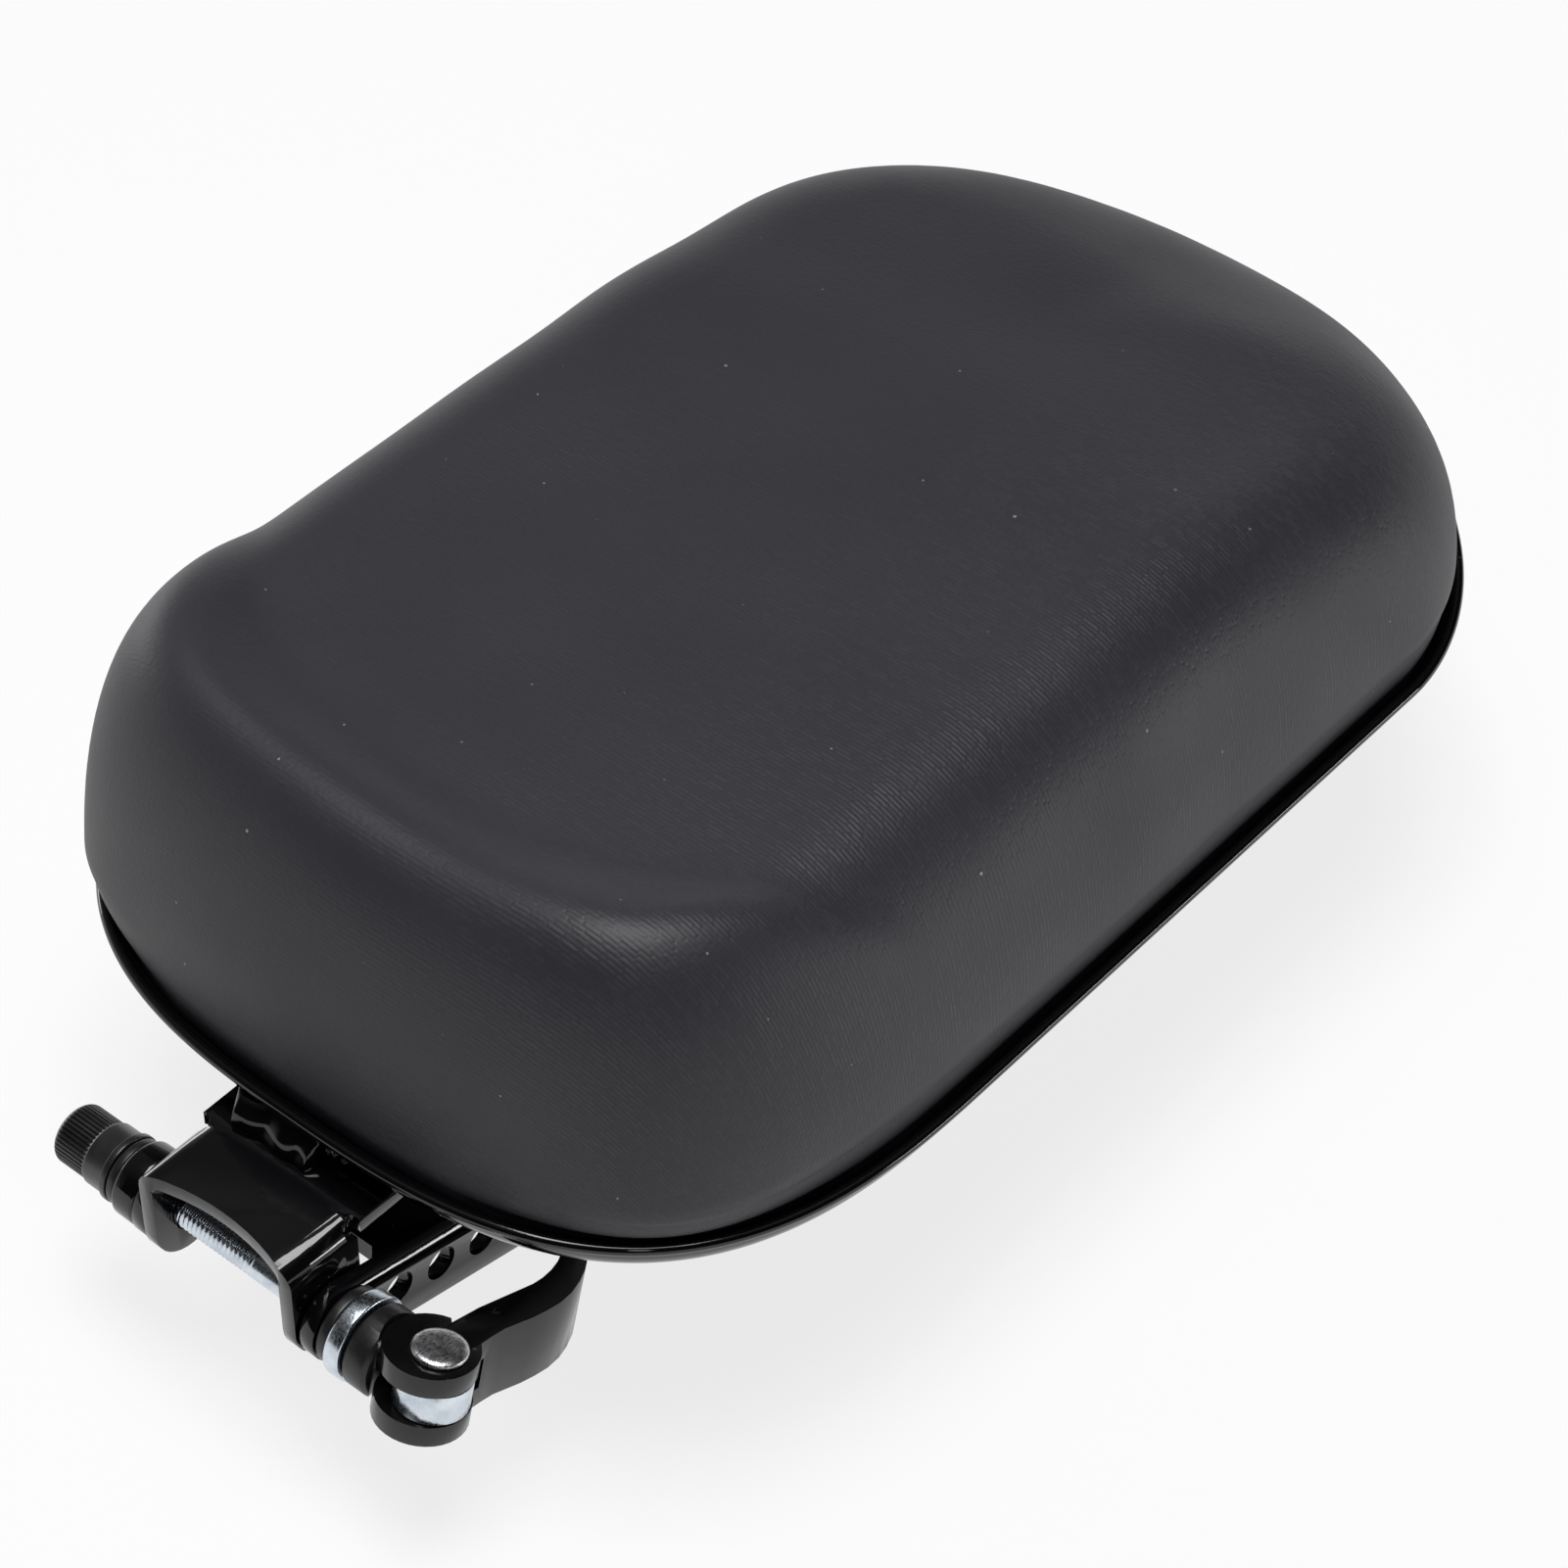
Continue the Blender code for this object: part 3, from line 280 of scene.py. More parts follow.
def black_acetal():
    """Moulded acetal, black: satin, with the faint mottle of the mould's skin, 0.6 mm wide."""
    made, tree, shader, place = start_material("black_acetal")
    skin = add(tree, "TexNoise", {"Vector": place, "Scale": 1 / 0.0006, "Detail": 3.0})
    bump = add(tree, "Bump", {"Height": skin.outputs["Fac"], "Strength": 0.08, "Distance": 0.0001})
    tree.links.new(bump.outputs["Normal"], shader.inputs["Normal"])
    tree.links.new(ramp(tree, skin.outputs["Fac"], [(0.3, 0.30), (0.7, 0.42)]),
                   shader.inputs["Roughness"])
    shader.inputs["Base Color"].default_value = linear("#18181a")
    shader.inputs["IOR"].default_value = 1.48
    return made


def bright_zinc():
    """Steel with clear passivated zinc plate: bright and slightly blue. Its cloudy patches are
    4 mm wide and its fine marks 0.4 mm."""
    made, tree, shader, place = start_material("bright_zinc")
    blotch = add(tree, "TexNoise", {"Vector": place, "Scale": 260.0, "Detail": 5.0})
    fine = add(tree, "TexNoise", {"Vector": place, "Scale": 1 / 0.0004, "Detail": 2.0})
    tree.links.new(ramp(tree, blotch.outputs["Fac"], [(0.3, linear("#b9c3cf")), (0.7, linear("#dde4ea"))]),
                   shader.inputs["Base Color"])
    tree.links.new(ramp(tree, fine.outputs["Fac"], [(0.3, 0.16), (0.75, 0.34)]),
                   shader.inputs["Roughness"])
    bump = add(tree, "Bump", {"Height": fine.outputs["Fac"], "Strength": 0.06, "Distance": 0.0001})
    tree.links.new(bump.outputs["Normal"], shader.inputs["Normal"])
    shader.inputs["Metallic"].default_value = 1.0
    return made


acetal = black_acetal()
zinc = bright_zinc()
turned_ring("spacer_left", "left_spacer", 0.9 * MM, paint, "bracket_paint")
turned_ring("washer_left", "nut_washer", 0.35 * MM, acetal, "black_plastic")
turned_ring("spacer_right", "right_spacer", 0.6 * MM, acetal, "black_plastic")
turned_ring("washer_bright", "zinc_washer", 0.55 * MM, zinc, "zinc")

# Skewer rod
# Cold headed M6 steel rod, bright zinc plated. Its thread is rolled from the nut's end to just
# past the middle of the clevis, and the rest is plain.
THREAD_PITCH = 1.0 * MM
THREAD_DEPTH = 0.45 * MM
THREAD_END = 2.5 * MM
rod_low, rod_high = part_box("pivot_rod")
ROD_RADIUS = (rod_high.z - rod_low.z) / 2
ROD_SEGMENTS = 48
ROD_PAST_CUP = 1.2 * MM


def threaded_rod():
    """A ring of points each tenth of a pitch. The radius drops by a rounded wave of
    (x / pitch + angle / full turn), which fades out over two pitches at the thread's end."""
    inner_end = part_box("cam_cup")[1].x + ROD_PAST_CUP
    x = np.concatenate([np.arange(rod_low.x, THREAD_END, THREAD_PITCH / 10),
                        np.linspace(THREAD_END, inner_end, 20)])
    angle = np.linspace(0, 2 * pi, ROD_SEGMENTS, endpoint=False)
    phase = (x[:, None] / THREAD_PITCH + angle / (2 * pi)) % 1
    groove = (0.5 - 0.5 * np.cos(2 * pi * phase)) ** 0.8
    fade = np.clip((THREAD_END - x) / (2 * THREAD_PITCH), 0, 1)[:, None]
    points = about_skewer(x, ROD_RADIUS - THREAD_DEPTH * groove * fade)
    last = len(points) - 1
    ends = [list(range(ROD_SEGMENTS)), list(range(last, last - ROD_SEGMENTS, -1))]
    return points, grid_faces(len(x), ROD_SEGMENTS, flip=True) + ends


new_piece("skewer_rod", *threaded_rod(), zinc, "zinc", "skewer", ("pivot_rod",), sharp=60)

# Knurled nut
# Turned and black anodised: a flange against the washer, a plain collar and a grip with fine
# axial ribs and a rounded end. The hand turns it to set the clamp.
RIBS = 44
RIB_DEPTH = 0.42 * MM
NUT_NOSE, NUT_NOSE_DROP = 1.7 * MM, 2.2 * MM
nut_low, nut_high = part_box("knurled_nut")


def black_anodised():
    """Black anodised aluminium, tumbled: satin, near black. Its faint cloudy wear is 5.5 mm
    wide and its grit 0.35 mm."""
    made, tree, shader, place = start_material("black_anodised")
    cloud = add(tree, "TexNoise", {"Vector": place, "Scale": 180.0, "Detail": 5.0})
    grit = add(tree, "TexNoise", {"Vector": place, "Scale": 1 / 0.00035, "Detail": 2.0})
    tree.links.new(ramp(tree, cloud.outputs["Fac"], [(0.3, linear("#161617")), (0.75, linear("#212123"))]),
                   shader.inputs["Base Color"])
    tree.links.new(ramp(tree, cloud.outputs["Fac"], [(0.3, 0.24), (0.75, 0.36)]),
                   shader.inputs["Roughness"])
    bump = add(tree, "Bump", {"Height": grit.outputs["Fac"], "Strength": 0.10, "Distance": 0.0001})
    tree.links.new(bump.outputs["Normal"], shader.inputs["Normal"])
    shader.inputs["IOR"].default_value = 1.6
    return made


def knurled_grip():
    """Rings along the nut, from its seat outwards. The grip's radius is lowered between ribs by
    a sharpened cosine of (ribs x angle), and its end is a quarter ellipse."""
    length = nut_high.x - nut_low.x
    flange, collar = 1.3 * MM, 5.7 * MM
    big, mid, grip = (nut_high.z - nut_low.z) / 2, 6.1 * MM, 5.75 * MM
    corners = [(0, BORE_RADIUS), (0, big), (flange, big), (flange, mid), (collar, mid),
               (collar + 0.5 * MM, grip)]
    body = rounded(corners, 0.3 * MM)
    along = np.linspace(collar + 0.8 * MM, length - NUT_NOSE, 12)
    end = np.linspace(0, pi / 2, 9)
    cap = np.stack([length - NUT_NOSE + NUT_NOSE * np.sin(end),
                    grip - NUT_NOSE_DROP * (1 - np.cos(end))], 1)
    profile = np.concatenate([body, np.stack([along, np.full(12, grip)], 1), cap[1:],
                              [(length, 1.2 * MM)], [(length - 0.4 * MM, 1.0 * MM)]])
    segments = RIBS * 10
    angle = np.linspace(0, 2 * pi, segments, endpoint=False)
    valley = np.clip(0.5 - 0.5 * np.cos(RIBS * angle), 0, 1) ** 3
    ribbed = np.clip((profile[:, 0] - collar - 0.2 * MM) / (0.5 * MM), 0, 1)
    ribbed *= np.clip((length - 0.55 * MM - profile[:, 0]) / (0.9 * MM), 0, 1)
    ribbed[:len(body) - 5] = 0
    points = about_skewer(nut_high.x - profile[:, 0],
                          profile[:, 1:2] - RIB_DEPTH * ribbed[:, None] * valley)
    rows = len(profile)
    ends = [list(range(segments - 1, -1, -1)), list(range((rows - 1) * segments, rows * segments))]
    return points, grid_faces(rows, segments) + ends


anodised = black_anodised()
new_piece("nut_knurled", *knurled_grip(), anodised, "lever_alloy", "nut", ("knurled_nut",), sharp=38)

# Cam cup and drum
# The cup is moulded and takes the push of the cam. The drum is a zinc plated steel roller in
# the lever's slot: the rod screws into it and the lever's pin passes through it.
softened("cup_moulded", "cam_cup", 0.45 * MM, 3, acetal, "skewer")
softened("drum_zinc", "barrel_drum", 0.25 * MM, 2, zinc, "skewer")

# Lever and its pin
# Die cast aluminium lever, painted black: a fork of two cam discs and a bent arm. Its paint is
# chipped to bright metal at a few edges. The pin's polished heads are peened over.
LEVER_EDGE = 0.55 * MM
PIN_SEGMENTS = 64
PIN_SHANK = 2.3 * MM                 # radius
HALF_FORK = 7.5 * MM
PIN_HEAD_HEIGHT = 1.15 * MM


def chipped_black_paint():
    """Black coat on cast aluminium: smooth, with waves of 2 mm and chips under 1 mm along edges.

    A chip shows where an edge is sharp and a coarse noise is high; bare metal is bright."""
    made, tree, shader, place = start_material("chipped_black_paint")
    waves = add(tree, "TexNoise", {"Vector": place, "Scale": 1 / 0.0020, "Detail": 2.0})
    bump = add(tree, "Bump", {"Height": waves.outputs["Fac"], "Strength": 0.06, "Distance": 0.0003})
    tree.links.new(bump.outputs["Normal"], shader.inputs["Normal"])
    edge = add(tree, "NewGeometry").outputs["Pointiness"]
    sharp_edge = ramp(tree, edge, [(0.56, 0.0), (0.60, 1.0)])
    patch = add(tree, "TexNoise", {"Vector": place, "Scale": 480.0, "Detail": 4.0, "Roughness": 0.7})
    patchy = ramp(tree, patch.outputs["Fac"], [(0.655, 0.0), (0.665, 1.0)])
    chip = add(tree, "Math", {0: sharp_edge, 1: patchy}, operation="MULTIPLY").outputs[0]
    tree.links.new(ramp(tree, chip, [(0.4, linear("#0b0b0c")), (0.6, linear("#c9c9c6"))]),
                   shader.inputs["Base Color"])
    tree.links.new(chip, shader.inputs["Metallic"])
    cloud = add(tree, "TexNoise", {"Vector": place, "Scale": 90.0, "Detail": 3.0})
    tree.links.new(ramp(tree, cloud.outputs["Fac"], [(0.35, 0.16), (0.7, 0.26)]),
                   shader.inputs["Roughness"])
    shader.inputs["IOR"].default_value = 1.5
    return made


softened("lever_cast", "qr_lever", LEVER_EDGE, 4, chipped_black_paint(), "lever")
pin_axis = -Vector(joint["lever_open"]["axis"])
pin_place = Vector(joint["lever_open"]["pos_m"])
pin_side = Vector((1, 0, 0))
pin_ahead = pin_axis.cross(pin_side)


def polished_steel():
    """Peened and polished steel head: bright, with long scratches and small dents.

    Scratches are stretched noise 0.2 mm apart; the dents are 1.6 mm wide."""
    made, tree, shader, place = start_material("polished_steel")
    stretched = add(tree, "Mapping", {"Vector": place, "Rotation": (0.3, 0.2, 0.9),
                                      "Scale": (1.0, 0.06, 1.0)}).outputs[0]
    lines = add(tree, "TexNoise", {"Vector": stretched, "Scale": 1 / 0.00022, "Detail": 4.0})
    dents = add(tree, "TexNoise", {"Vector": place, "Scale": 620.0, "Detail": 4.0, "Roughness": 0.65})
    height = add(tree, "Math", {0: lines.outputs["Fac"], 1: dents.outputs["Fac"]}, operation="ADD")
    bump = add(tree, "Bump", {"Height": height.outputs[0], "Strength": 0.35, "Distance": 0.0002})
    tree.links.new(bump.outputs["Normal"], shader.inputs["Normal"])
    tree.links.new(ramp(tree, lines.outputs["Fac"], [(0.35, 0.22), (0.7, 0.40)]),
                   shader.inputs["Roughness"])
    tone = ramp(tree, dents.outputs["Fac"], [(0.38, linear("#a9aaad")), (0.58, linear("#e2e2e4"))])
    tree.links.new(tone, shader.inputs["Base Color"])
    shader.inputs["Metallic"].default_value = 1.0
    return made


def peened_pin():
    """A turned pin about its own axis: low domed heads with a rounded rim, and a plain shank."""
    low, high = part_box("lever_pin")
    head = (high.x - low.x) / 2
    top = HALF_FORK + PIN_HEAD_HEIGHT
    upper = np.array([(head * 0.55, top - 0.03 * MM), (head * 0.80, top - 0.10 * MM),
                      (head * 0.95, top - 0.32 * MM), (head, top - 0.62 * MM),
                      (head * 0.985, HALF_FORK), (PIN_SHANK, HALF_FORK)])
    profile = np.concatenate([upper, upper[::-1] * [1, -1]])
    angle = np.linspace(0, 2 * pi, PIN_SEGMENTS, endpoint=False)
    r, z = profile[:, :1], profile[:, 1:]
    middle, axis, side, ahead = (np.array(v) for v in (pin_place, pin_axis, pin_side, pin_ahead))
    points = (middle + (r * np.cos(angle))[..., None] * side + (r * np.sin(angle))[..., None] * ahead
              + np.broadcast_to(z, (len(z), PIN_SEGMENTS))[..., None] * axis).reshape(-1, 3)
    count = len(points)
    points = np.concatenate([points, [middle + top * axis, middle - top * axis]])
    last = count - PIN_SEGMENTS
    caps = [[count, k, (k + 1) % PIN_SEGMENTS] for k in range(PIN_SEGMENTS)]
    caps += [[count + 1, last + (k + 1) % PIN_SEGMENTS, last + k] for k in range(PIN_SEGMENTS)]
    return points, grid_faces(len(profile), PIN_SEGMENTS) + caps


new_piece("pin_polished", *peened_pin(), polished_steel(), "pin_steel", "lever", ("lever_pin",), sharp=50)

# Pan
# Pressed from 1.5 mm steel sheet, painted with the bracket. Its edge is rolled into a small round
# lip, and the wall bends into a flat floor that the clevis is welded to.
RIM_FRONT_STRAIGHT, RIM_REAR_STRAIGHT = 55.5 * MM, 70.0 * MM
RIM_FRONT_DEPTH, RIM_REAR_DEPTH = 80.6 * MM, 71.4 * MM
RIM_FRONT_POWER, RIM_REAR_POWER = 2.8, 1.8
PAN_SHEET = 1.5 * MM
PAN_BEND = 7.6 * MM
PAN_WALL = -0.35 * MM                # outside of the wall, from the rim
pan_depth = rim_z - pan_low.z


def rim(count):
    """Points and outward directions evenly along the rim, from the middle of its front.

    Each end is a superellipse, |x / width| ^ power + |y / depth| ^ power = 1, and straight sides
    join them. The half outline is resampled by its length and mirrored."""
    t = np.linspace(0, pi / 2, 1500)
    front = np.stack([half_width * np.cos(t) ** (2 / RIM_FRONT_POWER),
                      -RIM_FRONT_STRAIGHT - RIM_FRONT_DEPTH * np.sin(t) ** (2 / RIM_FRONT_POWER)], 1)[::-1]
    rear = np.stack([half_width * np.cos(t) ** (2 / RIM_REAR_POWER),
                     RIM_REAR_STRAIGHT + RIM_REAR_DEPTH * np.sin(t) ** (2 / RIM_REAR_POWER)], 1)
    half = np.concatenate([front, rear])
    along = np.concatenate([[0], np.cumsum(np.linalg.norm(np.diff(half, axis=0), axis=1))])
    wanted = np.linspace(0, along[-1], count // 2 + 1)
    side = np.stack([np.interp(wanted, along, half[:, 0]), np.interp(wanted, along, half[:, 1])], 1)
    side[[0, -1], 0] = 0
    ring = np.concatenate([side, side[-2:0:-1] * [-1, 1]])
    ahead = np.roll(ring, -1, 0) - np.roll(ring, 1, 0)
    ahead /= np.linalg.norm(ahead, axis=1)[:, None]
    return ring, np.stack([ahead[:, 1], -ahead[:, 0]], 1)


def arc(centre, radius, first, last, steps):
    """Points of an arc between two angles in degrees."""
    angle = np.radians(np.linspace(first, last, steps + 1))
    return np.stack([centre[0] + radius * np.cos(angle), centre[1] + radius * np.sin(angle)], 1)


def pressed_pan(count=480):
    """The sheet's outline, (distance outside the rim, height), carried round the rim.

    It runs from the inner end of the lip over its roll, down the wall and round the bend to
    the floor, and back up inside, one sheet thickness away."""
    bend_centre = (PAN_WALL - PAN_BEND, PAN_BEND - pan_depth)
    outer = np.concatenate([arc((0, -LIP_RADIUS), LIP_RADIUS, 165, -80, 14),
                            arc(bend_centre, PAN_BEND, 0, -90, 10)])
    inner = np.concatenate([arc(bend_centre, PAN_BEND - PAN_SHEET, -90, 0, 8),
                            [(PAN_WALL - PAN_SHEET, -LIP_RADIUS)]])
    sheet = np.concatenate([outer, inner])
    ring, outward = rim(count)
    flat = ring[None] + outward[None] * sheet[:, None, :1]
    high = np.broadcast_to(sheet[:, None, 1:], (len(sheet), count, 1))
    points = np.concatenate([flat, high], -1).reshape(-1, 3)
    faces = grid_faces(len(sheet), count, close_rows=True, flip=True)
    floor_row = len(outer) - 1
    faces = [f for k, f in enumerate(faces) if k // count != floor_row]
    faces.append(list(range(floor_row * count, (floor_row + 1) * count))[::-1])
    faces.append(list(range((floor_row + 1) * count, (floor_row + 2) * count)))
    return points + np.array(rim_centre), faces


new_piece("pan_pressed", *pressed_pan(), paint, "pan_paint", "seat", ("seat_pan",), sharp=50)

# Welds
# Steel weld beads, painted over: one lumpy run across the front under the lip, with a rough tail
# and spatter at its right end, and a neater one along each side of the clevis's tongue.
TACK_LENGTH = 19.0 * MM
TACK_X = -4.0 * MM
TACK_REACH = 2.2 * MM
BEAD_ROWS, BEAD_COLUMNS, BACK_COLUMNS = 120, 30, 8
BEAD_ROUND = 1.2 * MM                # radius of the face's corners
BEAD_WIDTH = 9.0 * MM                # length of the face that the domes are spread over
DOME_SHARE = 0.26                    # height of a dome, of its radius
DOME_BLEND = 0.2 * MM
BEAD_SINK = 0.35 * MM                # how far the face lies below the domes' feet


def resampled(line, count):
    """Points evenly spaced along a line of points."""
    line = np.asarray(line, float)
    along = np.concatenate([[0], np.cumsum(np.linalg.norm(np.diff(line, axis=0), axis=1))])
    steps = np.linspace(0, along[-1], count)
    return np.stack([np.interp(steps, along, line[:, k]) for k in range(line.shape[1])], 1)


def bead(start, end, outward, back, face, lumps, lump_size, seed):
    """A weld run: its section, in (outwards, upwards) steps, is carried from start to end.

    The back is plain. Each face point is drawn to the back at the run's ends by a square root,
    and raised by the smooth greatest, blend x log(mean of exp(height / blend)), of seeded domes
    share x size x (1 - (distance / size) ^ 2) ^ 2."""
    rng = np.random.default_rng(seed)
    rows, columns = BEAD_ROWS, BEAD_COLUMNS
    start, end, outward = (np.array(v, float) for v in (start, end, outward))
    length = np.linalg.norm(end - start)
    s = np.linspace(0, 1, rows)
    root = resampled(back, columns)[::-1]
    crown = resampled(rounded(face, BEAD_ROUND), columns)
    ends = np.clip(s * (1 - s) * 14, 0, 1) ** 0.5
    share = np.linspace(0, 1, columns)
    middles = np.stack([rng.uniform(0, length, lumps),
                        rng.uniform(0.1, 0.9, lumps) * BEAD_WIDTH], 1)
    sizes = lump_size * rng.uniform(0.6, 1.3, lumps)
    far = np.hypot((s * length)[:, None, None] - middles[:, 0],
                   (share * BEAD_WIDTH)[None, :, None] - middles[:, 1])
    dome = DOME_SHARE * sizes * np.clip(1 - (far / sizes) ** 2, 0, 1) ** 2
    dome = np.log(np.exp(dome / DOME_BLEND).sum(-1) / lumps) * DOME_BLEND
    ahead = np.gradient(crown, axis=0)
    normal = np.stack([-ahead[:, 1], ahead[:, 0]], 1) / np.linalg.norm(ahead, axis=1)[:, None]
    if np.sum(normal * (crown - root)) < 0:
        normal = -normal
    raised = dome * np.sin(pi * share) ** 0.5 - BEAD_SINK
    flat = root + (crown - root) * ends[:, None, None] + normal * (raised * ends[:, None])[..., None]
    plain = np.broadcast_to(resampled(back, BACK_COLUMNS), (rows, BACK_COLUMNS, 2))
    section = np.concatenate([flat, plain], 1)
    points = (start + s[:, None, None] * (end - start) + section[..., :1] * outward
              + section[..., 1:] * np.array([0, 0, 1.0])).reshape(-1, 3)
    wide = columns + BACK_COLUMNS
    caps = [list(range(wide))[::-1], list(range((rows - 1) * wide, rows * wide))]
    return points, grid_faces(rows, wide) + caps


def spatter(count, seed):
    """Small round grains of metal thrown on the pan's front wall beside the run's tail."""
    rng = np.random.default_rng(seed)
    points, faces = [], []
    u, v = np.meshgrid(np.linspace(0.2, pi - 0.2, 7), np.linspace(0, 2 * pi, 10, endpoint=False),
                       indexing="ij")
    ball = np.stack([np.sin(u) * np.cos(v), np.sin(u) * np.sin(v), np.cos(u)], -1).reshape(-1, 3)
    for _ in range(count):
        x = TACK_X + TACK_LENGTH / 2 + rng.uniform(-3.0, 4.5) * MM
        down = rng.uniform(10, 62)
        size = rng.uniform(0.25, 0.7) * MM
        y = rim_front - (PAN_WALL - PAN_BEND + PAN_BEND * cos(radians(down)))
        z = rim_z + PAN_BEND - pan_depth - PAN_BEND * sin(radians(down))
        grain = grid_faces(7, 10) + [list(range(10)), list(range(60, 70))]
        faces += [[i + len(points) * 70 for i in f] for f in grain]
        points.append(ball * size + np.array([x, y, z]))
    return np.concatenate(points), faces


tack_back = arc((PAN_WALL - PAN_BEND, PAN_BEND - pan_depth), PAN_BEND + 0.15 * MM, -80, -12, 7)
top_z = tack_back[-1, 1]
tack_face = np.array([tack_back[-1], (0.30 * TACK_REACH, top_z - 0.8 * MM),
                      (0.80 * TACK_REACH, 0.55 * top_z - 0.45 * pan_depth),
                      (1.05 * TACK_REACH, 0.15 * top_z - 0.85 * pan_depth), (1.0 * TACK_REACH, -pan_depth),
                      (0.3 * TACK_REACH, -pan_depth - 0.1 * MM), tack_back[0]])
tack_start = (TACK_X - TACK_LENGTH / 2, rim_front, rim_z)
tack_end = (TACK_X + TACK_LENGTH / 2, rim_front, rim_z)
tack_points, tack_faces = bead(tack_start, tack_end, (0, -1, 0), tack_back, tack_face, 7, 6.0 * MM, 11)
grain_points, grain_faces = spatter(16, 4)
tack_faces += [[i + len(tack_points) for i in f] for f in grain_faces]
new_piece("weld_bead_front", np.concatenate([tack_points, grain_points]), tack_faces, paint,
          "bracket_paint", "seat", ("weld_front",), sharp=75)
for side, node in ((-1, "weld_left"), (1, "weld_right")):
    low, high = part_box(node)
    root_x = high.x if side < 0 else low.x
    wide, tall = high.x - low.x, high.z - low.z
    fillet_back = np.array([(0, -tall), (0, 0)])
    fillet_face = np.array([(0, 0), (wide, 0), (0.7 * wide, -0.5 * tall), (0.3 * wide, -0.9 * tall),
                            (0, -tall)])
    points, faces = bead((root_x, low.y, high.z), (root_x, high.y, high.z), (side, 0, 0),
                         fillet_back, fillet_face, 30, 1.4 * MM, 20 + side)
    new_piece("weld_bead_" + node[5:], points, faces, paint, "bracket_paint", "seat", (node,),
              sharp=75)

# Board and its fasteners
# Plywood that the cover is stapled to, with four zinc plated tee nuts pressed in from above.
# Button head screws and plain washers hold it in the pan from below.


def birch_plywood():
    """Birch plywood: long pale grain 1.2 mm wide, and darker glue lines 2.8 mm apart at its edge."""
    made, tree, shader, place = start_material("birch_plywood")
    long_grain = add(tree, "Mapping", {"Vector": place, "Scale": (1.0, 0.06, 1.0)})
    grain = add(tree, "TexNoise", {"Vector": long_grain.outputs[0], "Scale": 1 / 0.0012, "Detail": 5.0})
    plies = add(tree, "SeparateXYZ", {"Vector": place})
    layer = add(tree, "Math", {0: plies.outputs["Z"], 1: 2 * pi / 0.0028}, operation="MULTIPLY")
    layer = add(tree, "Math", {0: layer.outputs[0]}, operation="SINE")
    glue = ramp(tree, layer.outputs[0], [(0.80, 0.0), (0.95, 1.0)])
    wood = ramp(tree, grain.outputs["Fac"], [(0.3, linear("#a57f52")), (0.7, linear("#cdab7c"))])
    mixed = add(tree, "Mix", {"Factor": glue, 6: wood, 7: linear("#7b5733")}, data_type="RGBA")
    tree.links.new(mixed.outputs[2], shader.inputs["Base Color"])
    tree.links.new(ramp(tree, grain.outputs["Fac"], [(0.3, 0.62), (0.7, 0.78)]), shader.inputs["Roughness"])
    bump = add(tree, "Bump", {"Height": grain.outputs["Fac"], "Strength": 0.15, "Distance": 0.0002})
    tree.links.new(bump.outputs["Normal"], shader.inputs["Normal"])
    return made


frame["nodes"]["base_board"].material_slots[0].material = birch_plywood()
for number in range(1, 5):
    frame["nodes"][f"tee_nut_{number}"].material_slots[0].material = zinc
    softened(f"screw_head_{number}", f"pan_screw_{number}", 0.12 * MM, 2, zinc, "seat")
    softened(f"screw_washer_{number}", f"pan_washer_{number}", 0.15 * MM, 2, zinc, "seat")

# Cushion
# Foam on the board under black imitation leather, pulled down all round and stapled below. A
# raised roll crosses the clamp end, with a soft crease behind it, and the top slopes to the back.
WIDEST_HEIGHT = 8.0 * MM             # above the lip
SKIRT_HEIGHT = 0.4 * MM
SKIRT_TUCK = -2.45 * MM              # where the side goes into the pan
SEAT_HEIGHT = 51.5 * MM
BOLSTER_RISE, BOLSTER_RUN = 7.0 * MM, 14.0 * MM
CREASE_BACK, CREASE_BOW, CREASE_HOOK, CREASE_SOFTNESS = 32.0 * MM, 4.5, 515, 2.0 * MM
FALL_START, FALL_RUN, REAR_FALL = 10.0 * MM, 90.0 * MM, 9.0 * MM
DISH_DEPTH, DISH_HALF_WIDTH, DISH_HALF_LENGTH = 1.5 * MM, 52.0 * MM, 90.0 * MM
SHOULDER_IN, SHOULDER_UP = 0.87, 1.06
SPINE_FRONT, SPINE_REAR = -78.0 * MM, 22.0 * MM
SLACK_HEIGHT, SLACK_WAVE = 0.25 * MM, 45.0 * MM
RIB_PITCH = 0.85 * MM
RIB_DASH = 3.6 * MM


def ripples(x, y, wavelength, seed):
    """A smooth random field between about -1 and 1: a sum of 24 cosines in seeded directions."""
    rng = np.random.default_rng(seed)
    turn, phase = rng.uniform(0, 2 * pi, 24), rng.uniform(0, 2 * pi, 24)
    pace = 2 * pi / wavelength * rng.uniform(0.6, 1.3, 24)
    angle = (x[..., None] * np.cos(turn) + y[..., None] * np.sin(turn)) * pace + phase
    return np.cos(angle).sum(-1) / 7.0


def seat_top(x, y):
    """Height of the top above the lip: the seat, its dish, the fall to the back, the bolster."""
    fall = np.clip((y - FALL_START) / FALL_RUN, 0, 1)
    level = SEAT_HEIGHT - REAR_FALL * fall ** 2 * (3 - 2 * fall)
    dish = np.clip(1 - (x / DISH_HALF_WIDTH) ** 2, 0, 1) * np.clip(1 - (y / DISH_HALF_LENGTH) ** 2, 0, 1)
    level = level - DISH_DEPTH * dish
    crease = -RIM_FRONT_LENGTH + CREASE_BACK + CREASE_BOW * x ** 2 + CREASE_HOOK * x ** 4
    ahead = CREASE_SOFTNESS * np.log1p(np.exp(np.clip((crease - y) / CREASE_SOFTNESS, -30, 30)))
    return level + BOLSTER_RISE * np.tanh(ahead / BOLSTER_RUN)


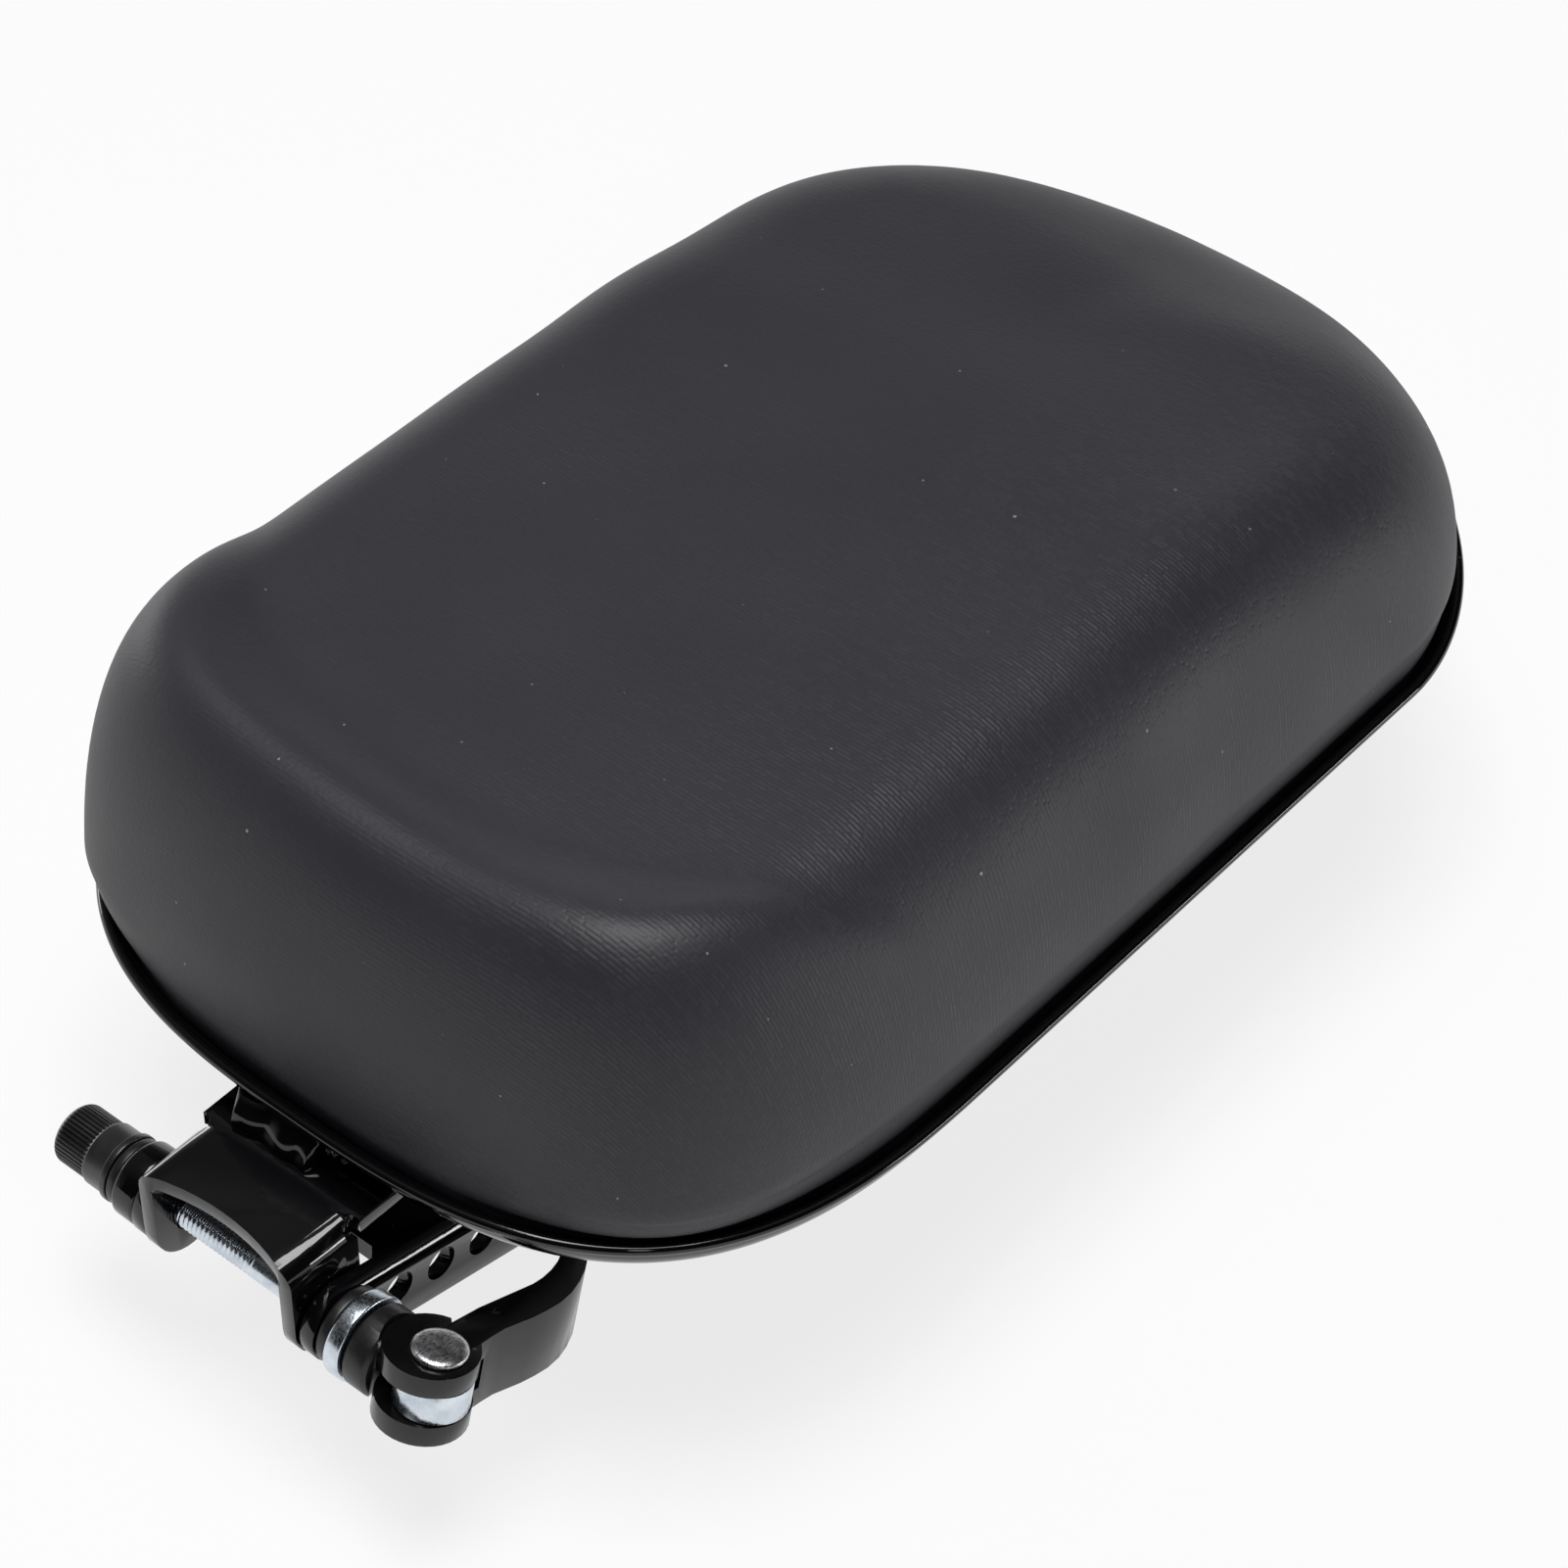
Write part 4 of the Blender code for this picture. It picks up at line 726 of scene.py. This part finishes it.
def upholstery(count=512):
    """Rings from the skirt up the side, over the shoulder and in to a line along the middle.

    At an angle a the shoulder lies inside the widest line by run x (1 - cos a ^ SHOULDER_IN)
    and rises to the top by sin a ^ SHOULDER_UP. Widest line and run vary with the rim's
    direction n: straight sides, front and rear (ny squared), corners (nx squared ny squared)."""
    ring, outward = rim(count)
    nx2 = outward[:, 0] ** 2
    front = np.clip(-outward[:, 1], 0, 1) ** 2
    rear = np.clip(outward[:, 1], 0, 1) ** 2
    widest = (-1.7 - 1.4 * front - 7.4 * rear + 16.8 * front * nx2 + 9.6 * rear * nx2) * MM
    run = (28.2 - 3.7 * front + 45.6 * rear - 31.6 * front * nx2 - 44.0 * rear * nx2) * MM
    tuck = np.minimum(widest, SKIRT_TUCK)
    steps = [(tuck + d * MM, np.full(count, h * MM))
             for d, h in ((-2.4, -7.0), (-1.0, -5.6), (-0.2, -3.4), (0, -1.2))]
    for a in np.radians(np.linspace(90, 7, 12)):
        steps.append((widest - (widest - tuck) * (1 - cos(a)),
                      np.full(count, WIDEST_HEIGHT - (WIDEST_HEIGHT - SKIRT_HEIGHT) * sin(a))))
    shoulder = np.radians(np.concatenate([np.linspace(0, 60, 17), np.linspace(63, 90, 12)]))
    rows = [np.column_stack([ring + outward * d[:, None], h]) for d, h in steps]
    for number, a in enumerate(shoulder):
        place = ring + outward * (widest - run * (1 - max(cos(a), 0) ** SHOULDER_IN))[:, None]
        share = np.divide(place[:, 0], ring[:, 0], out=np.ones(count),
                          where=np.abs(ring[:, 0]) > 1e-9) - 0.2
        place[:, 0] = ring[:, 0] * (0.2 + (share + np.sqrt(share ** 2 + 0.03)) / 2)
        for _ in range(12 * number):      # evens out the rows, most where they meet the top
            place = place + 0.25 * (np.roll(place, 1, 0) + np.roll(place, -1, 0) - 2 * place)
        top = seat_top(place[:, 0], place[:, 1])
        rows.append(np.column_stack([place, WIDEST_HEIGHT + (top - WIDEST_HEIGHT) * sin(a) ** SHOULDER_UP]))
    side = np.array(rows)
    # Unrolled place of each point: the top's edge, then outwards by the length down the side
    edge = side[-1, :, :2]
    drop = np.linalg.norm(np.diff(side[::-1], axis=0), axis=2).cumsum(0)[::-1]
    drop = np.concatenate([drop, np.zeros((1, count))])
    unrolled = edge[None] + outward[None] * drop[..., None]
    # Each point of the top's edge goes to its share of a line along the middle
    half = count // 2
    along = np.concatenate([[0], np.cumsum(np.linalg.norm(np.diff(edge[:half + 1], axis=0), axis=1))])
    share = along / along[-1]
    share = np.concatenate([share, share[-2:0:-1]])
    middle = SPINE_FRONT + (SPINE_REAR - SPINE_FRONT) * share
    t = np.linspace(0, 1, 41)[1:, None]
    x = edge[:, 0] * (1 - t)
    y = edge[:, 1] * (1 - t) + middle * t
    inside = np.stack([x, y, seat_top(x, y)], -1)
    points = np.concatenate([side, inside]).reshape(-1, 3)
    flat = np.concatenate([unrolled, inside[..., :2]]).reshape(-1, 2)
    rows = len(side) + len(inside)
    faces = np.array(grid_faces(rows, count))
    last = (rows - 1) * count
    mirrored = np.arange(rows * count)
    mirrored[last + half + 1:] = last + np.arange(half - 1, 0, -1)
    faces = mirrored[faces].tolist() + [list(range(count))]
    kept = last + half + 1
    return points[:kept], flat[:kept], faces


def ribbed_leather():
    """Imitation leather, charcoal and dull: fine ribs along X, 0.85 mm apart, each broken into
    dashes of 3.6 mm, over a pebble grain of 1.1 mm, with a few pale dust specks at least 16 mm apart.

    Across a rib the height is 4 f (1 - f); along a dash it rises and falls in a tenth of its
    length. Each rib's dashes start at a random place and each dash has its own height."""
    made, tree, shader, place = start_material("ribbed_leather")
    flat = add(tree, "UVMap", uv_map="unrolled").outputs["UV"]
    sway = add(tree, "TexNoise", {"Vector": flat, "Scale": 1 / 0.014, "Detail": 2.0}, noise_dimensions="2D")
    part = add(tree, "SeparateXYZ", {"Vector": flat})

    def step(kind, a, b=None, c=None):
        """One Math node of up to three values."""
        values = {k: v for k, v in enumerate((a, b, c)) if v is not None}
        return add(tree, "Math", values, operation=kind).outputs[0]

    v = step("MULTIPLY_ADD", sway.outputs["Fac"], 0.0006, part.outputs["Y"])
    rib = step("DIVIDE", v, RIB_PITCH)
    rib_number = step("FLOOR", rib)
    rib_share = step("FRACT", rib)
    start = add(tree, "TexWhiteNoise", {"W": rib_number}, noise_dimensions="1D").outputs["Value"]
    dash = step("ADD", step("DIVIDE", part.outputs["X"], RIB_DASH), start)
    dash_number = step("FLOOR", dash)
    dash_share = step("FRACT", dash)
    key = add(tree, "CombineXYZ", {"X": rib_number, "Y": dash_number}).outputs[0]
    amount = add(tree, "TexWhiteNoise", {"Vector": key}, noise_dimensions="2D").outputs["Value"]
    over = step("MULTIPLY", step("MULTIPLY", rib_share, step("SUBTRACT", 1.0, rib_share)), 4.0)
    along = step("MULTIPLY", step("MULTIPLY", dash_share, step("SUBTRACT", 1.0, dash_share)), 9.0)
    along = step("MINIMUM", along, 1.0)
    tall = step("MULTIPLY_ADD", amount, 0.7, 0.3)
    ribs = step("MULTIPLY", step("MULTIPLY", over, along), tall)
    pebble = add(tree, "TexVoronoi", {"Vector": flat, "Scale": 1 / 0.0011}, voronoi_dimensions="2D",
                 feature="SMOOTH_F1").outputs["Distance"]
    worn = add(tree, "TexNoise", {"Vector": place, "Scale": 30.0, "Detail": 3.0})
    # The ribs are pressed deepest at the lever's side and fade into the pebble grain
    depth = ramp(tree, part.outputs["X"], [(0.0, 0.35), (0.07, 1.0)])
    height = step("MULTIPLY_ADD", pebble, -0.5, step("MULTIPLY", ribs, depth))
    bump = add(tree, "Bump", {"Height": height, "Strength": 0.50, "Distance": 0.00012})
    tree.links.new(bump.outputs["Normal"], shader.inputs["Normal"])
    grains = add(tree, "TexVoronoi", {"Vector": flat, "Scale": 1 / 0.016}, voronoi_dimensions="2D")
    kind = add(tree, "SeparateColor", {"Color": grains.outputs["Color"]})
    size = step("MULTIPLY", step("MAXIMUM", step("SUBTRACT", kind.outputs["Red"], 0.55), 0.0), 0.045)
    speck = step("MULTIPLY", step("LESS_THAN", grains.outputs["Distance"], size), kind.outputs["Green"])
    # Painted shade: the colour is darker where the bump's ribs and pebble grain lie low, in their grooves
    # and hollows
    tone = ramp(tree, height, [(0.0, linear("#24232a")), (0.8, linear("#2c2b32"))])
    dusty = add(tree, "Mix", {"Factor": speck, 6: tone, 7: linear("#8d8a86")}, data_type="RGBA")
    tree.links.new(dusty.outputs[2], shader.inputs["Base Color"])
    rough = ramp(tree, worn.outputs["Fac"], [(0.3, 0.49), (0.7, 0.57)])
    tree.links.new(rough, shader.inputs["Roughness"])
    shader.inputs["IOR"].default_value = 1.50
    return made


cover_points, cover_flat, cover_faces = upholstery()
cover = new_piece("cushion_cover", cover_points + np.array(rim_centre), cover_faces,
                  ribbed_leather(), "cover", "seat", ("seat_cushion",))
unrolled = cover.data.uv_layers.new(name="unrolled")
corner_points = np.zeros(len(cover.data.loops), int)
cover.data.loops.foreach_get("vertex_index", corner_points)
unrolled.data.foreach_set("uv", cover_flat[corner_points].ravel())
slack = ripples(cover_points[:, 0], cover_points[:, 1], SLACK_WAVE, 7) * SLACK_HEIGHT
normals = np.zeros(len(cover_points) * 3)
cover.data.vertices.foreach_get("normal", normals)
raised = np.clip(cover_points[:, 2] / (20 * MM), 0, 1)
moved = cover_points + np.array(rim_centre) + normals.reshape(-1, 3) * (slack * raised)[:, None]
cover.data.vertices.foreach_set("co", moved.ravel())
cover.data.update()

# Floor, room and lamps
# A pale floor under a large softbox overhead, with a low lamp at each side and a small one
# beside the camera. The room is light low down on the far left and dark elsewhere.
FLOOR_SIZE = 8.0
FLOOR_GLOW = 0.80                    # share of plain white that the camera and reflections see
floor_z = cad_box[0][2] - 0.2 * MM


def white_floor():
    """Matt white. For the camera and in reflections four fifths of it is plain white, so that
    the shadow stays soft; the light it throws on the object is that of the matt white alone."""
    made, tree, shader, _ = start_material("white_floor")
    shader.inputs["Base Color"].default_value = linear("#f8f8f8")
    shader.inputs["Roughness"].default_value = 0.9
    shader.inputs["Specular IOR Level"].default_value = 0.0
    path = add(tree, "LightPath")
    seen = add(tree, "Math", {0: path.outputs["Is Camera Ray"], 1: path.outputs["Is Glossy Ray"]},
               operation="MAXIMUM")
    seen = add(tree, "Math", {0: seen.outputs[0], 1: path.outputs["Is Transmission Ray"]},
               operation="MAXIMUM")
    share = add(tree, "Math", {0: seen.outputs[0], 1: FLOOR_GLOW}, operation="MULTIPLY")
    white = add(tree, "Emission", {"Color": (1.0, 1.0, 1.0, 1.0), "Strength": 1.0})
    both = add(tree, "MixShader", {0: share.outputs[0], 1: shader.outputs["BSDF"], 2: white.outputs[0]})
    tree.links.new(both.outputs[0], tree.nodes["Material Output"].inputs["Surface"])
    return made


floor_mesh = bpy.data.meshes.new("floor")
half_floor = FLOOR_SIZE / 2
floor_corners = [(x * half_floor, y * half_floor, floor_z) for x, y in ((-1, -1), (1, -1), (1, 1), (-1, 1))]
floor_mesh.from_pydata(floor_corners, [], [(0, 1, 2, 3)])
floor = bpy.data.objects.new("floor", floor_mesh)
bpy.context.collection.objects.link(floor)
floor_mesh.materials.append(white_floor())

room = bpy.data.worlds.new("room")
room.use_nodes = True
bpy.context.scene.world = room
sky_tree = room.node_tree
sky = sky_tree.nodes["Background"]
direction = add(sky_tree, "TexCoord").outputs["Generated"]
height = add(sky_tree, "SeparateXYZ", {"Vector": direction}).outputs["Z"]
leftward = add(sky_tree, "VectorMath", {0: direction, 1: (-0.97, 0.26, 0.0)},
               operation="DOT_PRODUCT").outputs["Value"]
light_wall = ramp(sky_tree, height, [(0.0, 1.2), (0.12, 0.8), (0.30, 0.45), (0.55, 0.12), (0.85, 0.12)])
dark_wall = ramp(sky_tree, height, [(0.0, 0.05), (0.04, 0.01), (0.60, 0.01), (0.85, 0.10), (0.95, 0.30)])
leftness = ramp(sky_tree, leftward, [(0.30, 0.0), (0.60, 1.0)])
glow = add(sky_tree, "Mix", {0: leftness, 2: dark_wall, 3: light_wall}, data_type="FLOAT").outputs[0]
path = add(sky_tree, "LightPath")
strength = add(sky_tree, "Mix", {0: path.outputs["Is Camera Ray"], 2: glow, 3: 1.0}, data_type="FLOAT")
sky_tree.links.new(strength.outputs[0], sky.inputs["Strength"])
sky.inputs["Color"].default_value = (1.0, 1.0, 1.0, 1.0)


def softbox(name, place, aim, width, length, power):
    """A rectangular lamp that faces a point."""
    lamp = bpy.data.lights.new(name, "AREA")
    lamp.shape = "RECTANGLE"
    lamp.size, lamp.size_y = width, length
    lamp.energy = power
    box = bpy.data.objects.new(name, lamp)
    box.location = place
    box.rotation_euler = (Vector(aim) - Vector(place)).to_track_quat("-Z", "Y").to_euler()
    bpy.context.collection.objects.link(box)
    return box


softbox("overhead", (0.05, -0.06, 1.90), (0, 0.03, 0), 1.0, 1.0, 31.0)
softbox("side_right", (1.5, 0.95, 0.06), (0, 0.03, 0.05), 0.8, 0.12, 4.5)
softbox("side_left", (-1.6, 0.10, 0.14), (0, 0.0, 0.05), 0.9, 0.30, 4.5)
softbox("camera_side", (1.05, -1.15, 1.20), (0, 0.0, 0), 0.2, 0.2, 1.2)
bpy.context.scene.view_settings.view_transform = "Standard"
